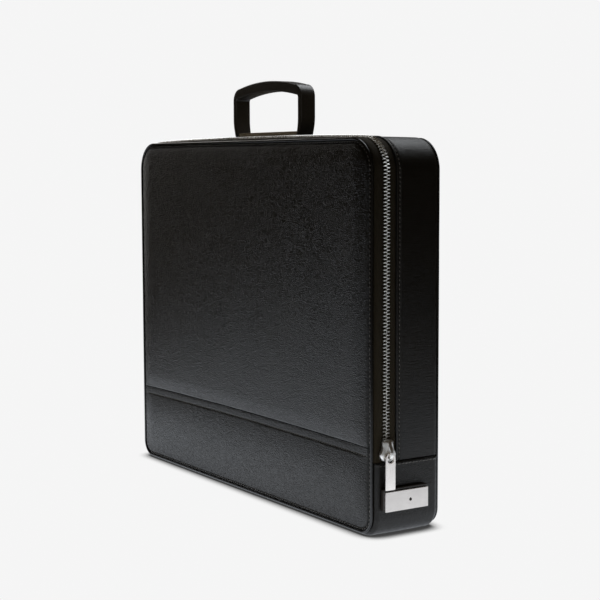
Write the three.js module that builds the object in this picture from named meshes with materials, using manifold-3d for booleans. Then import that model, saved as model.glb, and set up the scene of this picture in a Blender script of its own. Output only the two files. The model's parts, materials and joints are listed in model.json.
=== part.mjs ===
// A slim hard-sided leather briefcase that stands on its long edge: two pillowed leather
// faces with a base band, a gusset between two piped edges, a metal zip that runs up the
// right side, over the top and down the left side, a fixed arched handle and a side lock.
//
// Millimetres. X runs along the case and +X is the side with the slider and the lock,
// the front face looks along -Y, +Z is up and Z = 0 is the floor that it stands on.

import * as THREE from 'three';
import { mergeVertices } from 'three/addons/utils/BufferGeometryUtils.js';
import Module from 'manifold-3d';

const manifold = await Module();
manifold.setup();

// Case: the rounded rectangle that both pipings follow, centre line to centre line
const CASE_LENGTH = 453.4;
const CASE_HEIGHT = 360;
const CASE_DEPTH = 75.2;
const TOP_CORNER_RADIUS = 29;
const BOTTOM_CORNER_RADIUS = 16;
const FLOOR_DROP = 3;
const CORNER_STEPS = 7;

// Walls and clearances
const LEATHER = 2;
const GAP = 0.3;
const PIPING_RADIUS = 1.5;
const PIPING_SIDES = 8;

// Faces: each one is a pillow that rolls down to the piping round its edge
const PILLOW = 3.4;
const PILLOW_EDGE = 0.4;
const PILLOW_ROLL = 14;
const SEAM_HEIGHT = 80;
const SEAM_ARCH = 2.2;
const SEAM_DIP = 1.2;
const SEAM_ROLL = 26;
const MARGIN = 7.5;
const MARGIN_STEP = 0.9;
const MARGIN_GROOVE = 0.5;

// Gusset: the strip between the two pipings, and its rolled edge beside the zip. The whole
// strip swells outward most in the middle of the top, less down the sides, and least at
// the two ends of the top.
const CROWN = 4;
const SIDE_SWELL = 0.8;
const CORNER_SWELL = 0.42;
const TOP_SPANS = 6;
const SHOULDER_WIDTH = 5;
const GUSSET_SETBACK = 24.7;
const BEAD_WIDTH = 2.8;
const BEAD_HEIGHT = 1;
const BASE_SIDE_HEIGHT = 66.5;
const BASE_STEP = 0.8;

// Zip
const ZIP_SETBACK = 14;
const TAPE_RISE = 3.3;
const TAPE = 1.2;
const CHAIN_WIDTH = 7.2;
const CHAIN_HEIGHT = 1.7;

// Slider and pull
const SLIDER_LIFT = 0.5;
const SLIDER_LENGTH = 20.4;
const SLIDER_HALF_WIDTH = 8.6;
const SLIDER_SEAT = 1.2;
const SLIDER_PLATE = 3.3;
const SLIDER_BEVEL = 0.7;
const BRIDGE_WIDTH = 3.2;
const BRIDGE_WALL = 1.4;
const PIVOT_SHARE = 0.4;
const PULL_LENGTH = 34.5;
const PULL_WIDTH = 10.8;
const PULL_PLATE = 1.6;
const PULL_BAR = 1.9;
const EYE_WIDTH = 6.8;
const EYE_LENGTH = 7.9;
const PIVOT_CLEARANCE = 0.4;

// Lock
const LOCK_LENGTH = 48.6;
const LOCK_HEIGHT = 18.6;
const LOCK_SETBACK = 8.3;
const LOCK_BLOCK = 4.4;
const LOCK_RIM = 0.8;
const LOCK_LIFT = 1.4;
const LOCK_PLATE = 1.9;
const LOCK_BEVEL = 0.7;
const LOCK_CLEARANCE = 1.3;
const KEYHOLE_RADIUS = 1.35;
const KEYHOLE_SHIFT = 4;

// Handle
const HANDLE_LENGTH = 132;
const HANDLE_HEIGHT = 58;
const HANDLE_DEPTH = 16.6;
const HANDLE_OFFSET = 1.4;
const HANDLE_LEG = 5;
const HANDLE_GRIP = 7.8;
const HANDLE_ARCH_RADIUS = 212;
const HANDLE_INNER_ARCH_RADIUS = 300;
const HANDLE_CORNER_RADIUS = 11;
const HANDLE_INNER_CORNER = 2.5;
const HANDLE_TOE_IN = 4.8;
const HANDLE_TOE_HEIGHT = 20;
const HANDLE_BEVEL = 1.1;
const HANDLE_BASE_HEIGHT = 5.8;

// Derived places
const halfLength = CASE_LENGTH / 2;
const halfDepth = CASE_DEPTH / 2;
const bottomZ = FLOOR_DROP;
const topZ = FLOOR_DROP + CASE_HEIGHT;
const faceInset = PIPING_RADIUS + GAP;
const gussetRearY = halfDepth - faceInset;
const zipY = -halfDepth + ZIP_SETBACK;
const gussetFrontY = -halfDepth + GUSSET_SETBACK;
const seamZ = bottomZ + SEAM_HEIGHT;
const baseSideZ = bottomZ + BASE_SIDE_HEIGHT;
const upperStartZ = baseSideZ + GAP;
const baseCrown = CROWN * SIDE_SWELL + BASE_STEP;
const sideTapeRise = TAPE_RISE * SIDE_SWELL;

// How a rounded shoulder rises from its foot: shares of its width and of its height
const SHOULDER = [
  { across: 0, up: 0.12 },
  { across: 0.16, up: 0.5 },
  { across: 0.45, up: 0.84 },
  { across: 1, up: 1 },
];

// The rolled edge of the gusset: shares of the bead's width and height
const BEAD = [
  { across: 0, up: -0.5 },
  { across: 0.1, up: 0.5 },
  { across: 0.38, up: 1 },
  { across: 0.7, up: 0.75 },
  { across: 1, up: 0 },
];

// How a face rises from its edge: shares of the roll's width and of the full pillow
const ROLL = [
  { across: 0, up: 0 },
  { across: 0.14, up: 0.42 },
  { across: 0.4, up: 0.78 },
  { across: 1, up: 1 },
];

// Slider outline seen from the side: shares of its length, top first, and of its half width
const SLIDER_OUTLINE = [
  { along: 1, wide: 0.4 },
  { along: 0.95, wide: 0.62 },
  { along: 0.72, wide: 0.68 },
  { along: 0.55, wide: 0.76 },
  { along: 0.4, wide: 1 },
  { along: 0.25, wide: 0.97 },
  { along: 0.08, wide: 0.66 },
  { along: 0, wide: 0.3 },
];

// Materials
function material(color, roughness, metalness) {
  return new THREE.MeshStandardMaterial({ color, roughness, metalness });
}

const blackLeather = material(0x1b1b1d, 0.5, 0);
const gussetLeather = material(0x161617, 0.45, 0);
const pipingLeather = material(0x202022, 0.35, 0);
const handleLeather = material(0x1d1b1a, 0.4, 0);
const tapeCloth = material(0x1a1714, 0.85, 0);
const nickel = material(0xb9b6b0, 0.25, 1);
const satinSteel = material(0xc9c6c1, 0.38, 1);
const baseStrip = material(0x6e665f, 0.45, 0.8);
const lockBlack = material(0x0f0f10, 0.4, 0);

const body = new THREE.Group();

function addMesh(name, geometry, look, parent = body) {
  const mesh = new THREE.Mesh(geometry, look);
  mesh.name = name;
  parent.add(mesh);
  return mesh;
}

// Reads a table of shares at one place, by straight lines between its rows
function tableValue(table, share) {
  const place = THREE.MathUtils.clamp(share, 0, 1);
  for (let i = 1; i < table.length; i += 1) {
    const low = table[i - 1];
    const high = table[i];
    if (place <= high.across) {
      const t = (place - low.across) / (high.across - low.across);
      return THREE.MathUtils.lerp(low.up, high.up, t);
    }
  }
  return table[table.length - 1].up;
}

// Stations along one corner of the case, with the outward direction at each
function cornerStations(sideX, isTop) {
  const radius = isTop ? TOP_CORNER_RADIUS : BOTTOM_CORNER_RADIUS;
  const centreX = sideX * (halfLength - radius);
  const centreZ = isTop ? topZ - radius : bottomZ + radius;
  const stations = [];
  for (let i = 0; i <= CORNER_STEPS; i += 1) {
    const turn = (i / CORNER_STEPS) * (Math.PI / 2);
    const nx = sideX * Math.cos(turn);
    const nz = (isTop ? 1 : -1) * Math.sin(turn);
    const swell = THREE.MathUtils.lerp(SIDE_SWELL, CORNER_SWELL, i / CORNER_STEPS);
    stations.push({ x: centreX + radius * nx, z: centreZ + radius * nz, nx, nz, swell });
  }
  return stations;
}

function sideStation(sideX, z) {
  return { x: sideX * halfLength, z, nx: sideX, nz: 0, swell: SIDE_SWELL };
}

// Along the top between the corners, from right to left
function topStations() {
  const reach = halfLength - TOP_CORNER_RADIUS;
  const stations = [];
  for (let i = 1; i < TOP_SPANS; i += 1) {
    const share = 1 - (2 * i) / TOP_SPANS;
    const swell = THREE.MathUtils.lerp(1, CORNER_SWELL, Math.abs(share) ** 3);
    stations.push({ x: reach * share, z: topZ, nx: 0, nz: 1, swell });
  }
  return stations;
}

// Up the right side, over the top and down the left side
function upperPath(startZ) {
  return [
    sideStation(1, startZ),
    ...cornerStations(1, true),
    ...topStations(),
    ...cornerStations(-1, true).reverse(),
    sideStation(-1, startZ),
  ];
}

// Down the left side, under the bottom and up the right side
function lowerPath(startZ) {
  return [
    sideStation(-1, startZ),
    ...cornerStations(-1, false),
    ...cornerStations(1, false).reverse(),
    sideStation(1, startZ),
  ];
}

function closedPath() {
  return [
    ...cornerStations(1, true),
    ...cornerStations(-1, true).reverse(),
    ...cornerStations(-1, false),
    ...cornerStations(1, false).reverse(),
  ];
}

// Turns every face round when the mesh is inside out
function facingOut(positions, indices) {
  let volume = 0;
  const a = new THREE.Vector3();
  const b = new THREE.Vector3();
  const c = new THREE.Vector3();
  for (let i = 0; i < indices.length; i += 3) {
    a.fromArray(positions, indices[i] * 3);
    b.fromArray(positions, indices[i + 1] * 3);
    c.fromArray(positions, indices[i + 2] * 3);
    volume += a.dot(b.cross(c));
  }
  if (volume < 0) {
    indices.reverse();
  }
  const geometry = new THREE.BufferGeometry();
  geometry.setAttribute('position', new THREE.Float32BufferAttribute(positions, 3));
  geometry.setIndex(indices);
  return geometry;
}

// Joins rings of points into one closed body: a loop, or a length with flat ends
function joinRings(rings, isLoop, endFaces) {
  const sides = rings[0].length;
  const positions = rings.flat().flatMap((point) => [point.x, point.y, point.z]);
  const indices = [];
  const spans = isLoop ? rings.length : rings.length - 1;
  for (let r = 0; r < spans; r += 1) {
    const here = r * sides;
    const next = ((r + 1) % rings.length) * sides;
    for (let s = 0; s < sides; s += 1) {
      const t = (s + 1) % sides;
      indices.push(here + s, here + t, next + t);
      indices.push(here + s, next + t, next + s);
    }
  }
  if (!isLoop) {
    const last = (rings.length - 1) * sides;
    for (const [a, b, c] of endFaces) {
      indices.push(a, c, b);
      indices.push(last + a, last + b, last + c);
    }
  }
  return facingOut(positions, indices);
}

function placeAt(point, station) {
  return new THREE.Vector3(
    station.x + point.out * station.nx,
    point.y,
    station.z + point.out * station.nz,
  );
}

// Sweeps a section along the case's rounded outline. sectionAt gives the section for a
// swell: y across the depth and out, the distance outward from the piping's centre line.
function sweep(sectionAt, path, isLoop, toPoint = placeAt) {
  const rings = path.map((station) => (
    sectionAt(station.swell).map((point) => toPoint(point, station))
  ));
  const flat = sectionAt(1).map((point) => new THREE.Vector2(point.y, point.out));
  const isClockwise = THREE.ShapeUtils.isClockWise(flat);
  const faces = THREE.ShapeUtils.triangulateShape(flat, []);
  const endFaces = faces.map(([a, b, c]) => (isClockwise ? [a, c, b] : [a, b, c]));
  const turned = isClockwise ? endFaces : endFaces.map(([a, b, c]) => [a, c, b]);
  return joinRings(rings, isLoop, turned);
}

// A strip of even thickness under a line of outer points
function stripSection(outer, wall) {
  const inner = outer.map((point) => ({ y: point.y, out: point.out - wall, isInner: true }));
  return [...outer, ...inner.reverse()];
}

function shoulderPoints(footY, towards, height) {
  return SHOULDER.map((row) => ({
    y: footY + towards * row.across * SHOULDER_WIDTH,
    out: row.up * height,
  }));
}

// Piping

function pipingGeometry(planeY) {
  const section = [];
  for (let i = 0; i < PIPING_SIDES; i += 1) {
    const turn = (i / PIPING_SIDES) * Math.PI * 2;
    section.push({ y: planeY + PIPING_RADIUS * Math.cos(turn), out: PIPING_RADIUS * Math.sin(turn) });
  }
  return sweep(() => section, closedPath(), true);
}

addMesh('front_piping', pipingGeometry(-halfDepth), pipingLeather);
addMesh('rear_piping', pipingGeometry(halfDepth), pipingLeather);

// Gusset and base

function gussetSection(swell) {
  const crown = CROWN * swell;
  const bead = BEAD.map((row) => ({
    y: gussetFrontY + row.across * BEAD_WIDTH,
    out: crown + row.up * BEAD_HEIGHT,
  }));
  return stripSection([...bead, ...shoulderPoints(gussetRearY, -1, crown).reverse()], LEATHER);
}

function baseSection() {
  const front = shoulderPoints(-gussetRearY, 1, baseCrown);
  const rear = shoulderPoints(gussetRearY, -1, baseCrown).reverse();
  return stripSection([...front, ...rear], LEATHER);
}

// The base is pressed flat where it meets the floor
function placeOnFloor(point, station) {
  const lowest = point.isInner ? LEATHER : 0;
  return new THREE.Vector3(
    station.x + point.out * station.nx,
    point.y,
    Math.max(station.z + point.out * station.nz, lowest),
  );
}

addMesh('gusset', sweep(gussetSection, upperPath(upperStartZ), false), gussetLeather);
addMesh('base_gusset', sweep(baseSection, lowerPath(baseSideZ), false, placeOnFloor), gussetLeather);

// Zip tapes and teeth

function frontTapeSection(swell) {
  const rise = shoulderPoints(-gussetRearY, 1, TAPE_RISE * swell);
  const inner = { y: zipY - GAP / 2, out: TAPE_RISE * swell };
  return stripSection([...rise, inner], TAPE);
}

function rearTapeSection(swell) {
  const outer = [
    { y: zipY + GAP / 2, out: TAPE_RISE * swell },
    { y: gussetFrontY - GAP, out: TAPE_RISE * swell },
  ];
  return stripSection(outer, TAPE);
}

function teethSection(swell) {
  const low = TAPE_RISE * swell + GAP;
  const high = low + CHAIN_HEIGHT;
  const half = CHAIN_WIDTH / 2;
  return [
    { y: zipY - half, out: low },
    { y: zipY - half, out: high - CHAIN_HEIGHT / 3 },
    { y: zipY - half * 0.8, out: high },
    { y: zipY + half * 0.8, out: high },
    { y: zipY + half, out: high - CHAIN_HEIGHT / 3 },
    { y: zipY + half, out: low },
  ];
}

// Each tape is one strip of cloth. It is drawn in five lengths, a gap apart where the corners
// start and end, so that the collision shape of each length follows the case.
function tapeLengths() {
  const sideEnd = topZ - TOP_CORNER_RADIUS - GAP;
  const reach = halfLength - TOP_CORNER_RADIUS - GAP;
  const topEnd = (sideX) => ({ x: sideX * reach, z: topZ, nx: 0, nz: 1, swell: CORNER_SWELL });
  return {
    right: [sideStation(1, upperStartZ), sideStation(1, sideEnd)],
    right_corner: cornerStations(1, true),
    top: [topEnd(1), ...topStations(), topEnd(-1)],
    left_corner: cornerStations(-1, true),
    left: [sideStation(-1, upperStartZ), sideStation(-1, sideEnd)],
  };
}

for (const [place, path] of Object.entries(tapeLengths())) {
  addMesh(`zip_tape_front_${place}`, sweep(frontTapeSection, path, false), tapeCloth);
  addMesh(`zip_tape_rear_${place}`, sweep(rearTapeSection, path, false), tapeCloth);
}
addMesh('zip_teeth', sweep(teethSection, upperPath(upperStartZ), false), nickel);

// Faces

// Distance from a point of a face inward to the rounded outline of the face
function depthInside(x, z) {
  const isTop = z > (topZ + bottomZ) / 2;
  const radius = (isTop ? TOP_CORNER_RADIUS : BOTTOM_CORNER_RADIUS) - faceInset;
  const fromSide = halfLength - faceInset - Math.abs(x);
  const fromEnd = (isTop ? topZ - z : z - bottomZ) - faceInset;
  if (fromSide < radius && fromEnd < radius) {
    return radius - Math.hypot(radius - fromSide, radius - fromEnd);
  }
  return Math.min(fromSide, fromEnd);
}

// Half the face's width at a height, to its rounded outline
function halfWidthAt(z) {
  const isTop = z > (topZ + bottomZ) / 2;
  const radius = (isTop ? TOP_CORNER_RADIUS : BOTTOM_CORNER_RADIUS) - faceInset;
  const fromEnd = (isTop ? topZ - z : z - bottomZ) - faceInset;
  const straight = halfLength - faceInset;
  if (fromEnd >= radius) {
    return straight;
  }
  const rise = Math.max(radius - fromEnd, 0);
  return straight - radius + Math.sqrt(Math.max(radius * radius - rise * rise, 0));
}

function seamArchAt(x) {
  const share = x / halfLength;
  return SEAM_ARCH * (1 - share * share);
}

// Height of the leather in front of the piping plane: the level in the middle of the face,
// brought down to the piping round the rim
function faceLevel(x, z, midLevel) {
  const share = depthInside(x, z) / PILLOW_ROLL;
  return PILLOW_EDGE + (midLevel - PILLOW_EDGE) * tableValue(ROLL, share);
}

// Columns of a face: close together in the roll at each side, wide apart between
function columnsAt(halfWidth) {
  const middle = halfWidth - PILLOW_ROLL;
  const right = [0, middle * 0.5, middle];
  for (const row of ROLL.slice(0, -1).reverse()) {
    right.push(halfWidth - row.across * PILLOW_ROLL);
  }
  const left = right.slice(1).reverse().map((x) => -x);
  return [...left, ...right];
}

// A leather sheet over rows of a face. A row gives its height at the side of the case,
// the level of the leather there, and how much of the seam's arch it follows.
function faceGeometry(rows, facing) {
  const outer = [];
  const inner = [];
  for (const row of rows) {
    for (const x of columnsAt(halfWidthAt(row.z))) {
      const z = row.z + row.arch * seamArchAt(x);
      const level = faceLevel(x, row.z, row.level);
      outer.push(new THREE.Vector3(x, facing * (halfDepth + level), z));
      inner.push(new THREE.Vector3(x, facing * (halfDepth + level - LEATHER), z));
    }
  }
  const columns = outer.length / rows.length;
  const offset = outer.length;
  const positions = [...outer, ...inner].flatMap((point) => [point.x, point.y, point.z]);
  const indices = [];
  for (let r = 0; r + 1 < rows.length; r += 1) {
    for (let c = 0; c + 1 < columns; c += 1) {
      const a = r * columns + c;
      const b = a + 1;
      const d = a + columns;
      const e = d + 1;
      indices.push(a, b, e, a, e, d);
      indices.push(offset + a, offset + e, offset + b, offset + a, offset + d, offset + e);
    }
  }
  const last = (rows.length - 1) * columns;
  const rim = [];
  for (let c = 0; c + 1 < columns; c += 1) {
    rim.push([c, c + 1]);
    rim.push([last + c + 1, last + c]);
  }
  for (let r = 0; r + 1 < rows.length; r += 1) {
    rim.push([(r + 1) * columns, r * columns]);
    rim.push([(r + 1) * columns - 1, (r + 2) * columns - 1]);
  }
  for (const [a, b] of rim) {
    indices.push(a, offset + b, b, a, offset + a, offset + b);
  }
  return facingOut(positions, indices);
}

// Heights inward from a rounded end of a face, close together where the outline turns
function endInsets(radius) {
  const turns = [0, 0.2, 0.4, 0.6, 0.8, 1];
  return turns.map((turn) => radius * (1 - Math.cos(turn * Math.PI / 2)));
}

function upperFaceRows() {
  const rows = [];
  const seamLevel = PILLOW - SEAM_DIP;
  const seamBottom = seamZ + GAP;
  for (const share of [0, 0.15, 0.4, 1]) {
    const level = THREE.MathUtils.lerp(seamLevel, PILLOW, Math.sin(share * Math.PI / 2));
    rows.push({ z: seamBottom + share * SEAM_ROLL, level, arch: 1 - share });
  }
  const radius = TOP_CORNER_RADIUS - faceInset;
  const insets = endInsets(radius).reverse();
  for (const inset of insets) {
    rows.push({ z: topZ - faceInset - inset, level: PILLOW, arch: 0 });
  }
  return rows;
}

function baseFaceRows() {
  const rows = [];
  const radius = BOTTOM_CORNER_RADIUS - faceInset;
  for (const inset of endInsets(radius)) {
    rows.push({ z: bottomZ + faceInset + inset, level: PILLOW, arch: 0 });
  }
  const marginZ = seamZ - MARGIN;
  const seamLevel = PILLOW - SEAM_DIP + MARGIN_STEP;
  const bulgeZ = (marginZ + bottomZ) / 2;
  rows.push({ z: bulgeZ, level: PILLOW, arch: 0.4 });
  rows.push({ z: marginZ - MARGIN, level: PILLOW - SEAM_DIP / 2, arch: 0.8 });
  rows.push({ z: marginZ, level: seamLevel - MARGIN_GROOVE, arch: 1 });
  rows.push({ z: marginZ + MARGIN / 4, level: seamLevel, arch: 1 });
  rows.push({ z: seamZ, level: seamLevel, arch: 1 });
  return rows;
}

addMesh('front_panel', faceGeometry(upperFaceRows(), -1), blackLeather);
addMesh('front_base_panel', faceGeometry(baseFaceRows(), -1), blackLeather);
addMesh('back_panel', faceGeometry(upperFaceRows(), 1), blackLeather);
addMesh('back_base_panel', faceGeometry(baseFaceRows(), 1), blackLeather);

// Joining and cutting of closed meshes

function toSolid(geometry) {
  const bare = geometry.clone();
  bare.deleteAttribute('normal');
  bare.deleteAttribute('uv');
  const merged = mergeVertices(bare, 1e-4);
  return new manifold.Manifold(new manifold.Mesh({
    numProp: 3,
    vertProperties: new Float32Array(merged.attributes.position.array),
    triVerts: new Uint32Array(merged.index.array),
  }));
}

function toGeometry(solid) {
  const mesh = solid.getMesh();
  const geometry = new THREE.BufferGeometry();
  geometry.setAttribute('position', new THREE.BufferAttribute(new Float32Array(mesh.vertProperties), 3));
  geometry.setIndex(Array.from(mesh.triVerts));
  return geometry;
}

// Things on the right side are drawn as seen from there: x across the depth, y up and
// z outward from the case
const rightSide = new THREE.Group();
rightSide.position.set(halfLength, 0, 0);
rightSide.quaternion.setFromRotationMatrix(new THREE.Matrix4().makeBasis(
  new THREE.Vector3(0, 1, 0),
  new THREE.Vector3(0, 0, 1),
  new THREE.Vector3(1, 0, 0),
));
body.add(rightSide);

// Slider

const sliderBottom = upperStartZ + SLIDER_LIFT;
const chainTop = sideTapeRise + GAP + CHAIN_HEIGHT;
const sliderTop = chainTop + GAP + SLIDER_PLATE;
const barRadius = Math.hypot(PULL_BAR / 2, PULL_PLATE / 2);
const pivotOut = sliderTop + barRadius + PIVOT_CLEARANCE;
const pivotZ = sliderBottom + PIVOT_SHARE * SLIDER_LENGTH;
const bridgeInner = pivotOut + barRadius + PIVOT_CLEARANCE;
const bridgeTop = bridgeInner + BRIDGE_WALL;

function sliderBody() {
  const right = SLIDER_OUTLINE.map((row) => new THREE.Vector2(
    row.wide * SLIDER_HALF_WIDTH,
    sliderBottom + row.along * SLIDER_LENGTH,
  ));
  const left = right.map((point) => new THREE.Vector2(-point.x, point.y)).reverse();
  const seat = sideTapeRise + SLIDER_SEAT;
  const slab = new THREE.ExtrudeGeometry(new THREE.Shape([...right, ...left]), {
    depth: sliderTop - seat - SLIDER_BEVEL * 2,
    bevelEnabled: true,
    bevelThickness: SLIDER_BEVEL,
    bevelSize: SLIDER_BEVEL,
    bevelOffset: -SLIDER_BEVEL,
    bevelSegments: 1,
  });
  return slab.translate(0, 0, seat + SLIDER_BEVEL);
}

// The chain runs through the slider, clear of its walls
function chainChannel() {
  const width = CHAIN_WIDTH + GAP * 2;
  const height = (chainTop + GAP) * 2;
  const channel = new THREE.BoxGeometry(width, SLIDER_LENGTH * 3, height);
  return channel.translate(0, sliderBottom, 0);
}

// The bridge over the pull's bar, an arch along the slider
function bridge() {
  const footReach = barRadius + PIVOT_CLEARANCE + BRIDGE_WALL * 1.6;
  const lowFoot = pivotZ - footReach;
  const highFoot = pivotZ + footReach;
  const lean = BRIDGE_WALL;
  const inside = footReach - BRIDGE_WALL * 1.6;
  const shape = new THREE.Shape();
  shape.moveTo(lowFoot - lean, sliderTop - SLIDER_PLATE / 2);
  shape.lineTo(lowFoot, bridgeTop - BRIDGE_WALL);
  shape.lineTo(lowFoot + lean, bridgeTop);
  shape.lineTo(highFoot - lean, bridgeTop);
  shape.lineTo(highFoot, bridgeTop - BRIDGE_WALL);
  shape.lineTo(highFoot + lean * 3, sliderTop - SLIDER_PLATE / 2);
  shape.lineTo(pivotZ + inside, sliderTop - SLIDER_PLATE / 2);
  shape.lineTo(pivotZ + inside, bridgeInner);
  shape.lineTo(pivotZ - inside, bridgeInner);
  shape.lineTo(pivotZ - inside, sliderTop - SLIDER_PLATE / 2);
  const arch = new THREE.ExtrudeGeometry(shape, { depth: BRIDGE_WIDTH, bevelEnabled: false });
  arch.applyMatrix4(new THREE.Matrix4().makeBasis(
    new THREE.Vector3(0, 1, 0),
    new THREE.Vector3(0, 0, 1),
    new THREE.Vector3(1, 0, 0),
  ));
  return arch.translate(-BRIDGE_WIDTH / 2, 0, 0);
}

const sliderSolid = toSolid(sliderBody())
  .subtract(toSolid(chainChannel()))
  .add(toSolid(bridge()));
const slider = addMesh('zip_slider', toGeometry(sliderSolid), nickel, rightSide);
slider.position.set(zipY, 0, 0);

// Pull: a flat tab with an eye whose top bar turns under the bridge

function pullGeometry() {
  const half = PULL_WIDTH / 2;
  const eyeHalf = EYE_WIDTH / 2;
  const barTop = PULL_BAR / 2;
  const shape = new THREE.Shape();
  shape.moveTo(-half, barTop - PULL_LENGTH);
  shape.lineTo(half, barTop - PULL_LENGTH);
  shape.lineTo(half, -EYE_LENGTH);
  shape.quadraticCurveTo(half, barTop, eyeHalf * 0.6, barTop);
  shape.lineTo(-eyeHalf * 0.6, barTop);
  shape.quadraticCurveTo(-half, barTop, -half, -EYE_LENGTH);
  const eye = new THREE.Path();
  const eyeBottom = -PULL_BAR / 2 - EYE_LENGTH;
  eye.moveTo(-eyeHalf * 0.7, -PULL_BAR / 2);
  eye.lineTo(eyeHalf * 0.7, -PULL_BAR / 2);
  eye.lineTo(eyeHalf, -PULL_BAR / 2 - EYE_LENGTH / 3);
  eye.lineTo(eyeHalf, eyeBottom + eyeHalf);
  eye.quadraticCurveTo(eyeHalf, eyeBottom, 0, eyeBottom);
  eye.quadraticCurveTo(-eyeHalf, eyeBottom, -eyeHalf, eyeBottom + eyeHalf);
  eye.lineTo(-eyeHalf, -PULL_BAR / 2 - EYE_LENGTH / 3);
  shape.holes.push(eye);
  const plate = new THREE.ExtrudeGeometry(shape, {
    depth: PULL_PLATE,
    bevelEnabled: false,
    curveSegments: 4,
  });
  return plate.translate(0, 0, -PULL_PLATE / 2);
}

const pull = addMesh('zip_pull', pullGeometry(), satinSteel, rightSide);
pull.position.set(zipY, pivotZ, pivotOut);

// Lock: a black block on the base leather, faced with a bevelled plate

const lockTop = pivotZ + PULL_BAR / 2 - PULL_LENGTH - LOCK_CLEARANCE;
const lockCentreY = -halfDepth + LOCK_SETBACK + LOCK_LENGTH / 2;
const lockCentreZ = lockTop - LOCK_HEIGHT / 2;
const lockSeat = baseCrown + GAP;

function bevelledPlate(length, height, thickness, bevel) {
  const shape = new THREE.Shape();
  shape.moveTo(-length / 2, -height / 2);
  shape.lineTo(length / 2, -height / 2);
  shape.lineTo(length / 2, height / 2);
  shape.lineTo(-length / 2, height / 2);
  const plate = new THREE.ExtrudeGeometry(shape, {
    depth: thickness - bevel * 2,
    bevelEnabled: true,
    bevelThickness: bevel,
    bevelSize: bevel,
    bevelOffset: -bevel,
    bevelSegments: 1,
  });
  return plate.translate(0, 0, bevel);
}

const lockBlock = addMesh(
  'lock_block',
  bevelledPlate(
    LOCK_LENGTH + LOCK_RIM * 2, LOCK_HEIGHT + LOCK_RIM * 2, LOCK_BLOCK, LOCK_BEVEL / 2,
  ),
  lockBlack,
  rightSide,
);
lockBlock.position.set(lockCentreY, lockCentreZ + LOCK_LIFT, lockSeat);

function keyholeCutter() {
  const cutter = new THREE.CylinderGeometry(KEYHOLE_RADIUS, KEYHOLE_RADIUS, LOCK_PLATE * 4, 12);
  return cutter.rotateX(Math.PI / 2).translate(KEYHOLE_SHIFT, 0, LOCK_PLATE / 2);
}

const plateSolid = toSolid(bevelledPlate(LOCK_LENGTH, LOCK_HEIGHT, LOCK_PLATE, LOCK_BEVEL))
  .subtract(toSolid(keyholeCutter()));
const lockPlate = addMesh('lock_plate', toGeometry(plateSolid), satinSteel, rightSide);
lockPlate.position.set(lockCentreY, lockCentreZ, lockSeat + LOCK_BLOCK + GAP);

// Handle, drawn as seen from the front: x along the case and y up from the gusset's top

const handleGroup = new THREE.Group();
handleGroup.position.set(0, HANDLE_OFFSET, topZ + CROWN + GAP);
handleGroup.rotation.x = Math.PI / 2;
body.add(handleGroup);

function drop(radius, x) {
  return radius - Math.sqrt(radius * radius - x * x);
}

// Half of a bent outline, from the foot up the leg and along the arch to the middle
function handleHalf(legX, archTop, archRadius, cornerRadius, footX) {
  const points = [];
  const toeSteps = 4;
  for (let i = 0; i <= toeSteps; i += 1) {
    const share = i / toeSteps;
    const x = THREE.MathUtils.lerp(footX, legX, Math.sin(share * Math.PI / 2));
    points.push(new THREE.Vector2(x, share * HANDLE_TOE_HEIGHT));
  }
  const archAtCorner = archTop - drop(archRadius, legX - cornerRadius);
  const cornerSteps = 5;
  for (let i = 0; i <= cornerSteps; i += 1) {
    const turn = (i / cornerSteps) * (Math.PI / 2);
    const x = legX - cornerRadius * (1 - Math.cos(turn));
    points.push(new THREE.Vector2(x, archAtCorner - cornerRadius * (1 - Math.sin(turn))));
  }
  const archSteps = 4;
  for (let i = 1; i <= archSteps; i += 1) {
    const x = (legX - cornerRadius) * (1 - i / archSteps);
    points.push(new THREE.Vector2(x, archTop - drop(archRadius, x)));
  }
  return points;
}

function mirrored(points) {
  return points.slice(0, -1).reverse().map((point) => new THREE.Vector2(-point.x, point.y));
}

const outerLegX = HANDLE_LENGTH / 2;
const innerLegX = outerLegX - HANDLE_LEG;
const outerFootX = outerLegX - HANDLE_TOE_IN;
const innerFootX = outerFootX - HANDLE_LEG * 0.75;

function handleGeometry() {
  const outer = handleHalf(
    outerLegX, HANDLE_HEIGHT, HANDLE_ARCH_RADIUS, HANDLE_CORNER_RADIUS, outerFootX,
  );
  const inner = handleHalf(
    innerLegX, HANDLE_HEIGHT - HANDLE_GRIP, HANDLE_INNER_ARCH_RADIUS, HANDLE_INNER_CORNER, innerFootX,
  );
  const outerLine = [...outer, ...mirrored(outer)];
  const innerLine = [...inner, ...mirrored(inner)].reverse();
  const grip = new THREE.ExtrudeGeometry(new THREE.Shape([...outerLine, ...innerLine]), {
    depth: HANDLE_DEPTH - HANDLE_BEVEL * 2,
    bevelEnabled: true,
    bevelThickness: HANDLE_BEVEL,
    bevelSize: HANDLE_BEVEL,
    bevelOffset: -HANDLE_BEVEL,
    bevelSegments: 2,
  });
  return grip.translate(0, 0, HANDLE_BEVEL - HANDLE_DEPTH / 2);
}

function handleBaseGeometry() {
  const half = innerFootX - GAP;
  const strip = new THREE.Shape([
    new THREE.Vector2(-half, 0),
    new THREE.Vector2(half, 0),
    new THREE.Vector2(half, HANDLE_BASE_HEIGHT),
    new THREE.Vector2(-half, HANDLE_BASE_HEIGHT),
  ]);
  const depth = HANDLE_DEPTH - HANDLE_BEVEL * 2;
  const base = new THREE.ExtrudeGeometry(strip, { depth, bevelEnabled: false });
  return base.translate(0, 0, -depth / 2);
}

addMesh('handle', handleGeometry(), handleLeather, handleGroup);
addMesh('handle_base', handleBaseGeometry(), baseStrip, handleGroup);

export default body;
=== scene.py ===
"""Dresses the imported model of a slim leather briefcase: leather faces, gusset and base, piping,
a metal zip with its slider and pull, the side lock, the handle, the stitches and a pale stage."""

import json
import math
from collections import namedtuple

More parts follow.
